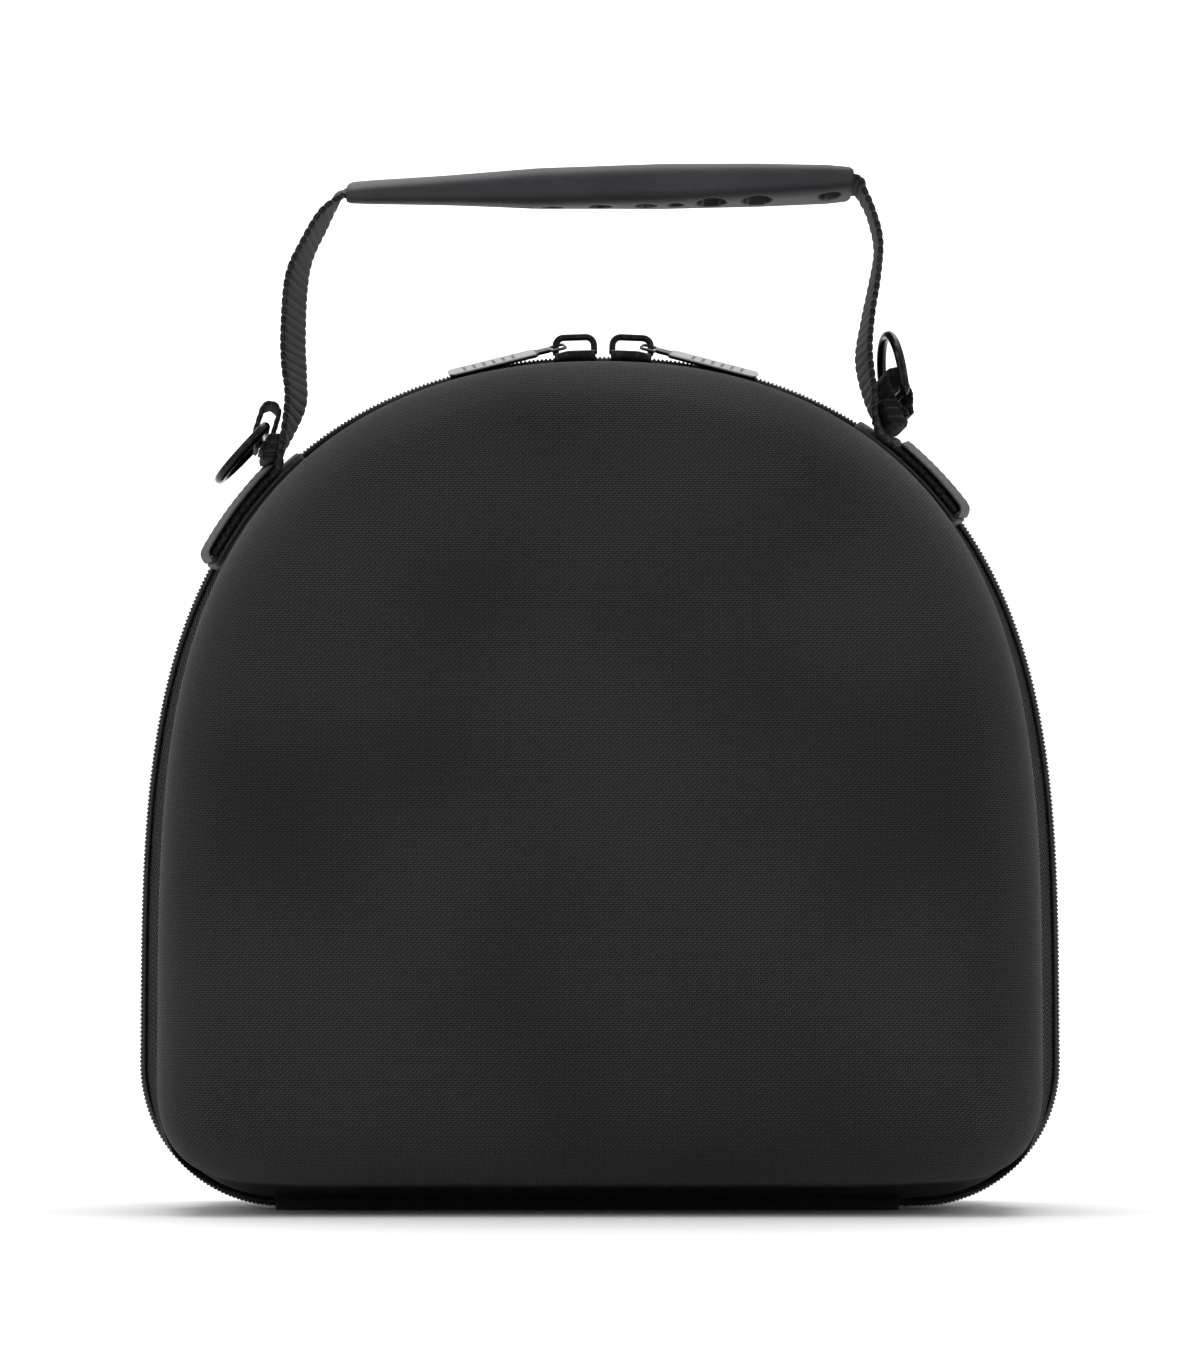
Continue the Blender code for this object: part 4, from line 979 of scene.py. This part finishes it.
def cover(word, look, thread):
    """Leatherette folded over the strap's sewn end, a band COVER thick, with two rows of stitches across its face."""
    data = SHOULDERS[word]
    side = data["side"]
    start = data["patch_end"] - PATCH_LENGTH
    s = np.linspace(start + data["cover"] * PATCH_LENGTH, data["patch_end"] - 0.6, 60)
    lift = lean_lift(side * s, data["lean"], HANDLE_DEPTH) + 2 * GAP + WEBBING + COVER / 2
    end = np.clip((s - s[-1] + 4.0) / 4.0, 0, 1)
    lift = lift - end ** 3 * 2.6
    middle = place(side * s, lift, -HANDLE_DEPTH)
    _, n, _ = outline(side * s)
    up = np.stack([n[:, 0], 0 * s, n[:, 1]], -1)
    turn = math.radians(data["lean"])
    y = np.array([[0.0, 1.0, 0.0]])
    wide = y * math.cos(turn) + up * math.sin(turn)
    thick = up * math.cos(turn) - y * math.sin(turn)
    c, h = squared(40, 0.3, 0.6)
    section = np.stack([c * (PATCH_WIDTH / 2 - 0.6), h * COVER / 2], -1)
    obj = sweep("folded_leatherette_" + word, middle, wide, thick, section, look)
    spots = np.arange(s[0] + 2.0, s[-1] - 4.0, STITCH_PITCH)
    places = []
    for row in (-1.0, 1.0):
        at = np.stack([np.interp(spots, s, middle[:, k]) for k in range(3)], -1)
        axes = [np.stack([np.interp(spots, s, v[:, k]) for k in range(3)], -1) for v in (wide, thick)]
        way = np.cross(axes[0], axes[1])
        at = at + axes[0] * row * (PATCH_WIDTH / 2 - 3.4) + axes[1] * COVER * 0.44
        places.append(np.stack([at, way, axes[0], axes[1]], 1))
    template, faces = bead(5, 8, STITCH_PITCH * 0.38, 0.24, 0.2)
    stitches = copies("seat_stitches_" + word, template, faces, np.concatenate(places), thread)


def slider_axes(side):
    """A slider's place on the crest, and its along, across and up directions."""
    s = SLIDER_MIDDLE + side * SLIDER_CENTRE
    p, n, t = outline(s)
    along = np.array([t[0], 0.0, t[1]])
    along = along * np.sign(along[0] * side)
    return np.array([p[0], 0.0, p[1]]), along, np.array([0.0, 1.0, 0.0]), np.array([n[0], 0.0, n[1]])


def bridge(word, look):
    """Round arch of wire over a slider: two upright legs and a flattened half round between them."""
    side = -1.0 if word == "left" else 1.0
    at, along, across, up = slider_axes(side)
    top = GAP + SLIDER_PLATE
    radius = BRIDGE_HOLLOW + BRIDGE_STRAP / 2
    reach = BRIDGE_LENGTH / 2 - BRIDGE_STRAP / 2
    height = top + BRIDGE_RISE - BRIDGE_STRAP / 2
    a = np.radians(np.linspace(0, 90, 12))
    x = np.concatenate([[-reach], -reach + radius * (1 - np.cos(a)), reach - radius + radius * np.sin(a), [reach]])
    z = np.concatenate([[top - 0.6], height - radius + radius * np.sin(a), height - radius + radius * np.cos(a),
                        [top - 0.6]])
    rows, _ = respaced(np.stack([x, z, 0 * x], -1), 0.4)
    points = at + along * rows[:, :1] + up * rows[:, 1:2]
    way = unit(np.gradient(points, axis=0))
    c, h = squared(16, 0.7, 0.7)
    section = np.stack([c * 1.05, h * 1.3], -1)
    flat = np.repeat(across[None], len(points), 0)
    obj = sweep("slider_bridge_" + word, points, np.cross(flat, way), flat, section, look)


def slider_body(word, look):
    """Slider casting: an oblong plate over the coils with rounded top edges and a lip down each side."""
    side = -1.0 if word == "left" else 1.0
    at, along, across, up = slider_axes(side)
    t = np.linspace(-1, 1, 25)
    wide = 1 - 0.18 * t ** 4
    nose = 0.7 * smooth((t - 0.2) / 0.8)
    channel = COIL_OFFSET + COIL_RADIUS + GAP
    top = GAP + SLIDER_PLATE
    a = np.radians(np.linspace(0, 90, 7))
    edge_y = 5.3 - 1.0 * (1 - np.cos(a))
    edge_z = top - 1.0 * (1 - np.sin(a))
    right_y = np.concatenate([[channel, channel, 4.9, 5.3], edge_y])
    right_z = np.concatenate([[GAP, -1.9, -1.9, -1.5], edge_z])
    y = np.concatenate([right_y, -right_y[::-1]])
    z = np.concatenate([right_z, right_z[::-1]])
    outer = np.abs(y) > channel + 0.01
    spread = np.where(outer[None], y[None] * wide[:, None], y[None])
    drop = np.where(z[None] > GAP + 0.01, z[None] - nose[:, None], z[None])
    section = np.stack([spread, drop], -1)
    middles = at + along * (t * 6.5)[:, None]
    obj = sweep("slider_casting_" + word, middles, np.repeat(across[None], 25, 0), np.repeat(up[None], 25, 0),
                section, look)
    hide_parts("slider_" + word)


def turned(degrees, axis):
    """Rotation matrix about X (0), Y (1) or Z (2)."""
    c = math.cos(math.radians(degrees))
    s = math.sin(math.radians(degrees))
    i, j = [(1, 2), (2, 0), (0, 1)][axis]
    out = np.eye(3)
    out[i, i] = out[j, j] = c
    out[i, j] = -s
    out[j, i] = s
    return out


def pull(word, look, rim_look):
    """Long flat pull: an eye of flat wire round the bridge, a neck, and a plate with a rounded end."""
    side = -1.0 if word == "left" else 1.0
    at, along, across, up = slider_axes(side)
    reach = BRIDGE_LENGTH / 2 - BRIDGE_STRAP - BRIDGE_HOLLOW
    rise = GAP + SLIDER_PLATE + BRIDGE_RISE - BRIDGE_STRAP - BRIDGE_HOLLOW
    centre = at + along * reach + up * rise
    rest = place(SLIDER_MIDDLE + side * (SLIDER_CENTRE + PULL_LENGTH), PULL_REST, 0.0)
    slope = math.degrees(math.atan2(centre[2] - rest[2], abs(rest[0] - centre[0])))
    turn = turned(slope, 1) @ turned(-PULL_YAW_DEGREES, 2) @ turned(PULL_ROLL_DEGREES, 0)
    if side < 0:
        turn = np.diag([-1.0, 1.0, 1.0]) @ turn @ np.diag([1.0, -1.0, 1.0])
    shoulder = PULL_LENGTH - PULL_PLATE
    body = word + "_pull"
    x = np.concatenate([np.linspace(5.0, shoulder - 1.4, 8), np.linspace(shoulder - 1.2, PULL_LENGTH - 2.2, 60),
                        PULL_LENGTH - 2.0 + 2.0 * np.sin(np.radians(np.linspace(0, 88, 12)))])
    half = np.where(x < shoulder, 2.2 + 2.1 * smooth((x - shoulder + 1.3) / 1.3), 4.3)
    end = np.clip((x - PULL_LENGTH + 2.0) / 2.0, 0, 1)
    half = half - 2.0 * (1 - np.sqrt(np.clip(1 - end ** 2, 0, 1)))
    c, h = squared(44, 0.35, 0.45)
    section = np.stack([c * half[:, None], np.broadcast_to(h * PULL_THICK / 2, (len(x), 44))], -1)
    axes = turn.T
    middles = centre + axes[0] * x[:, None]
    plate = sweep("pull_plate_" + word, middles, np.repeat(axes[1][None], len(x), 0),
                  np.repeat(axes[2][None], len(x), 0), section, look, body=body, along=x, around=c * 4.3)
    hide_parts("pull_" + word)
    inner = 1.3 + 0.8 + 0.45
    far = BRIDGE_HOLLOW + BRIDGE_STRAP + 0.6 + 0.45
    bend = np.radians(np.linspace(0, 90, 6))
    r = 0.9
    near = -0.15
    ex = np.concatenate([near + r * (1 - np.sin(bend)), near + r * (1 - np.cos(bend)), far - r + r * np.sin(bend),
                         far - r + r * np.cos(bend)])
    ey = np.concatenate([-inner + r * (1 - np.cos(bend)), inner - r * (1 - np.sin(bend)), inner - r + r * np.cos(bend),
                         -inner + r - r * np.sin(bend)])
    path = np.stack([ex, ey, 0 * ex], -1)
    rows = respaced(np.concatenate([path, path[:1]]), 0.35)[0][:-1]
    points = centre + rows[:, :1] * axes[0] + rows[:, 1:2] * axes[1]
    way = unit(np.roll(points, -1, 0) - np.roll(points, 1, 0))
    flat = np.repeat(axes[2][None], len(points), 0)
    c, h = squared(12, 0.7, 0.7)
    eye = sweep("pull_eye_" + word, points, np.cross(way, flat), flat, np.stack([c * 0.45, h * 0.5], -1), rim_look,
                body=body, closed=True)


def hand_grip(look):
    """Moulded grip: superellipse sections along a tilted axis, a raised parting line, and round pits underneath.

    Each pit lowers the surface by its depth times a smooth step of the distance from its middle.
    """
    table = np.array(GRIP_ROWS)
    share = np.sin(np.linspace(-np.pi / 2, np.pi / 2, 420))
    tall = np.interp(share, table[:, 0], table[:, 1]) * GRIP_HEIGHT / 2
    width = np.interp(share, table[:, 0], table[:, 2]) * GRIP_WIDTH / 2
    kernel = np.hanning(13) / np.hanning(13).sum()
    tall = np.convolve(np.pad(tall, 6, "edge"), kernel, "valid")
    width = np.convolve(np.pad(width, 6, "edge"), kernel, "valid")
    c, h = squared(120, 0.6, 0.7)
    x = share[:, None] * GRIP_LENGTH / 2
    y = c[None] * width[:, None]
    z = h[None] * tall[:, None]
    below = z < 0
    pits = [(-0.29, -3.5, 1.8), (-0.19, -4.0, 2.9), (0.0, -4.5, 3.2), (0.18, -4.5, 3.0), (0.30, -4.5, 2.2),
            (0.44, -5.5, 4.6), (0.62, -5.5, 4.6), (0.91, -5.0, 3.4)]
    for at, off, radius in pits:
        far = np.hypot(x - at * GRIP_LENGTH / 2, y - off)
        z = np.where(below, z + np.minimum(3.6, 1.1 * tall[:, None]) * (1 - smooth((far - radius + 0.4) / 0.8)), z)
    ridge = 0.18 * np.exp(-(z / 0.35) ** 2) * np.sign(y)
    section = np.stack([y + ridge, z], -1)
    middle, across, up = grip_axis(share)
    lip = []
    for end, at in ((0, -1.0), (-1, 1.0)):
        slot = np.stack([squared(120, 0.25, 0.4)[0] * (WEBBING_WIDTH / 2 + 0.5),
                         squared(120, 0.25, 0.4)[1] * (WEBBING / 2 + 0.5)], -1)
        lip.append((slot, grip_axis(at)[0], grip_axis(at * (1 - 4.0 / (GRIP_LENGTH / 2)))[0]))
    section = np.concatenate([lip[0][0][None], lip[0][0][None], section, lip[1][0][None], lip[1][0][None]])
    middle = np.concatenate([lip[0][2][None], lip[0][1][None], middle, lip[1][1][None], lip[1][2][None]])
    across = np.concatenate([across[:1], across[:1], across, across[-1:], across[-1:]])
    up = np.concatenate([up[:1], up[:1], up, up[-1:], up[-1:]])
    along = np.concatenate([[-86.0, -82.0], share * GRIP_LENGTH / 2, [82.0, 86.0]])
    points = middle[:, None] + across[:, None] * section[..., :1] + up[:, None] * section[..., 1:]
    around = np.concatenate([c * GRIP_WIDTH / 2, [c[0] * GRIP_WIDTH / 2]])
    uv = np.stack(np.broadcast_arrays(along[:, None], around[None]), -1)
    obj = surface("moulded_grip", points, look, uv=uv, caps=(True, True), flip=False)
    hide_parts("grip")


def coil_cord(side, look):
    """Filler cord inside each coil: an oval along the crest, under the turns."""
    right, left = zip_ends()
    s = np.linspace(right, left, 900)
    a = np.linspace(0, 2 * np.pi, 10, endpoint=False)
    points = np.stack([place(s, -1.55 + 0.95 * math.sin(k), side * (1.45 + 1.25 * math.cos(k))) for k in a], 1)
    name = "coil_cord_front" if side < 0 else "coil_cord_back"
    obj = surface(name, points, look, caps=(True, True), flip=side > 0,
                  uv=np.stack(np.broadcast_arrays(np.abs(s - s[0])[:, None], np.arange(11.0)[None]), -1))


def folded_hinge(look):
    """Cloth folded up over the foot of both shells: the shells' own foot lifted by the gap, with rounded edges."""
    x = np.linspace(HINGE_LOW[0], HINGE_HIGH[0], 160)
    reach = FOOT_HALF + HINGE_WING - 1.0
    depth = np.concatenate([np.linspace(-reach, -FOOT_HALF, 8), np.linspace(-FOOT_HALF, FOOT_HALF, 40)[1:-1],
                            np.linspace(FOOT_HALF, reach, 8)])
    over = surface_inset(LENGTH, np.abs(depth)) + CREST_LIFT - GAP
    round_edge = 0.35 * (np.abs(depth) / reach) ** 24
    low = over - HINGE
    wrinkle = 0.08 * np.sin(x[:, None] * 0.21 + depth[None] * 0.3) * np.sin(x[:, None] * 0.067)
    low_z = low[None] + 0 * x[:, None] + round_edge + np.where(np.abs(depth) > FOOT_HALF, np.abs(wrinkle), 0)
    high_z = over[None] + 0 * x[:, None] - round_edge
    z = np.concatenate([high_z, low_z[:, ::-1]], 1)
    y = np.concatenate([depth, depth[::-1]])
    points = np.stack(np.broadcast_arrays(x[:, None], y[None], z), -1)
    uv = np.stack(np.broadcast_arrays(x[:, None], np.append(y, y[0])[None]), -1)
    obj = surface("folded_hinge_cloth", points, look, uv=uv, caps=(True, True), flip=True)
    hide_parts("hinge_strip")


def camera_and_stage():
    """Camera low before the case, as the photograph's low horizon shows, tilted up a little, and a white sweep."""
    distance = 1.25
    eye = 0.045
    frame_height = 0.4349
    frame_middle = 0.1648
    data = bpy.data.cameras.new("camera")
    tilt = math.radians(3.2)
    data.lens = 36.0 * 1.004 * distance / frame_height
    data.shift_y = (frame_middle - eye - distance * math.tan(tilt)) / frame_height
    data.clip_end = 20.0
    camera = bpy.data.objects.new("camera", data)
    camera.location = (0.0, -distance, eye)
    camera.rotation_euler = (math.radians(90) + tilt, 0.0, 0.0)
    bpy.context.scene.collection.objects.link(camera)
    bpy.context.scene.camera = camera
    steps = 40
    a = np.linspace(0, math.pi / 2, steps)
    y = np.concatenate([[-3.0], [2.4], 2.4 + 0.8 * np.sin(a), [3.2]])
    z = np.concatenate([[0.0], [0.0], 0.8 - 0.8 * np.cos(a), [3.6]])
    x = np.array([-5.0, 5.0])
    points = np.stack(np.broadcast_arrays(x[None, :], y[:, None], z[:, None]), -1) / MM
    floor = surface_stage("floor_sweep", points)


def surface_stage(name, points):
    rows, cols = points.shape[:2]
    faces, _, _ = grid_faces(rows, cols, False, False)
    mesh = bpy.data.meshes.new(name)
    mesh.from_pydata((points.reshape(-1, 3) * MM).tolist(), [], faces.tolist())
    mesh.shade_smooth()
    look, tree, shader = new_look("white studio paper", 0.9)
    _, _, where = mm_coordinates(tree, "object")
    grain = add(tree, "ShaderNodeTexNoise", {"Vector": where, "Scale": 0.02})
    tint(tree, shader, grain.outputs[0], "f6f6f6", "f8f8f8")
    mesh.materials.append(look)
    obj = bpy.data.objects.new(name, mesh)
    bpy.context.scene.collection.objects.link(obj)
    return obj


def light(name, place_m, aim_m, size, power, size_y=None):
    data = bpy.data.lights.new(name, "AREA")
    data.shape = "RECTANGLE"
    data.size = size
    data.size_y = size_y or size
    data.energy = power
    lamp = bpy.data.objects.new(name, data)
    way = np.array(aim_m) - np.array(place_m)
    lamp.location = place_m
    lamp.rotation_euler = Vector(way).to_track_quat("-Z", "Y").to_euler()
    bpy.context.scene.collection.objects.link(lamp)


def lights():
    """A wide soft box overhead, one to each side and white surroundings, as for a packshot."""
    world = bpy.data.worlds.new("studio")
    world.use_nodes = True
    world.node_tree.nodes["Background"].inputs[0].default_value = (1, 1, 1, 1)
    world.node_tree.nodes["Background"].inputs[1].default_value = 0.55
    bpy.context.scene.world = world
    bpy.context.scene.view_settings.view_transform = "Standard"
    light("top_box", (0.0, 0.25, 1.7), (0, 0, 0.1), 1.6, 27)
    light("left_box", (-1.4, -0.9, 1.0), (0, 0, 0.15), 1.2, 4)
    light("right_box", (1.4, -0.9, 1.0), (0, 0, 0.15), 1.2, 4)
    light("backdrop_box", (0.0, 1.9, 2.0), (0, 3.2, 0.7), 3.6, 60, 1.0)


camera_and_stage()
lights()
POLYESTER = woven_polyester()
TWILL = herringbone_tape()
NYLON = nylon_coil()
HINGE_LOOK = hinge_cloth()
ENAMEL = black_enamel()
STEEL = pull_steel()
STEEL_EDGE = brushed_steel()
LEATHER = leatherette()
WEB = nylon_webbing()
RUBBER = moulded_rubber()
THREAD = spun_thread()
GUNMETAL = black_enamel("gunmetal enamel", "3c3d41", 0.25, 0.8)

for side in (-1.0, 1.0):
    shell(side, POLYESTER)
    tape(side, TWILL)
    coil(side, NYLON)
    coil_cord(side, NYLON)
folded_hinge(HINGE_LOOK)
for word in ("left", "right"):
    slider_body(word, ENAMEL)
    bridge(word, ENAMEL)
    pull(word, STEEL, STEEL_EDGE)
    seat(word, LEATHER)
    cover(word, LEATHER, THREAD)
    strap(word, WEB)
    ring_loop(word, WEB)
    sewn_layers(word, WEB)
    d_ring(word, GUNMETAL)
hand_grip(RUBBER)
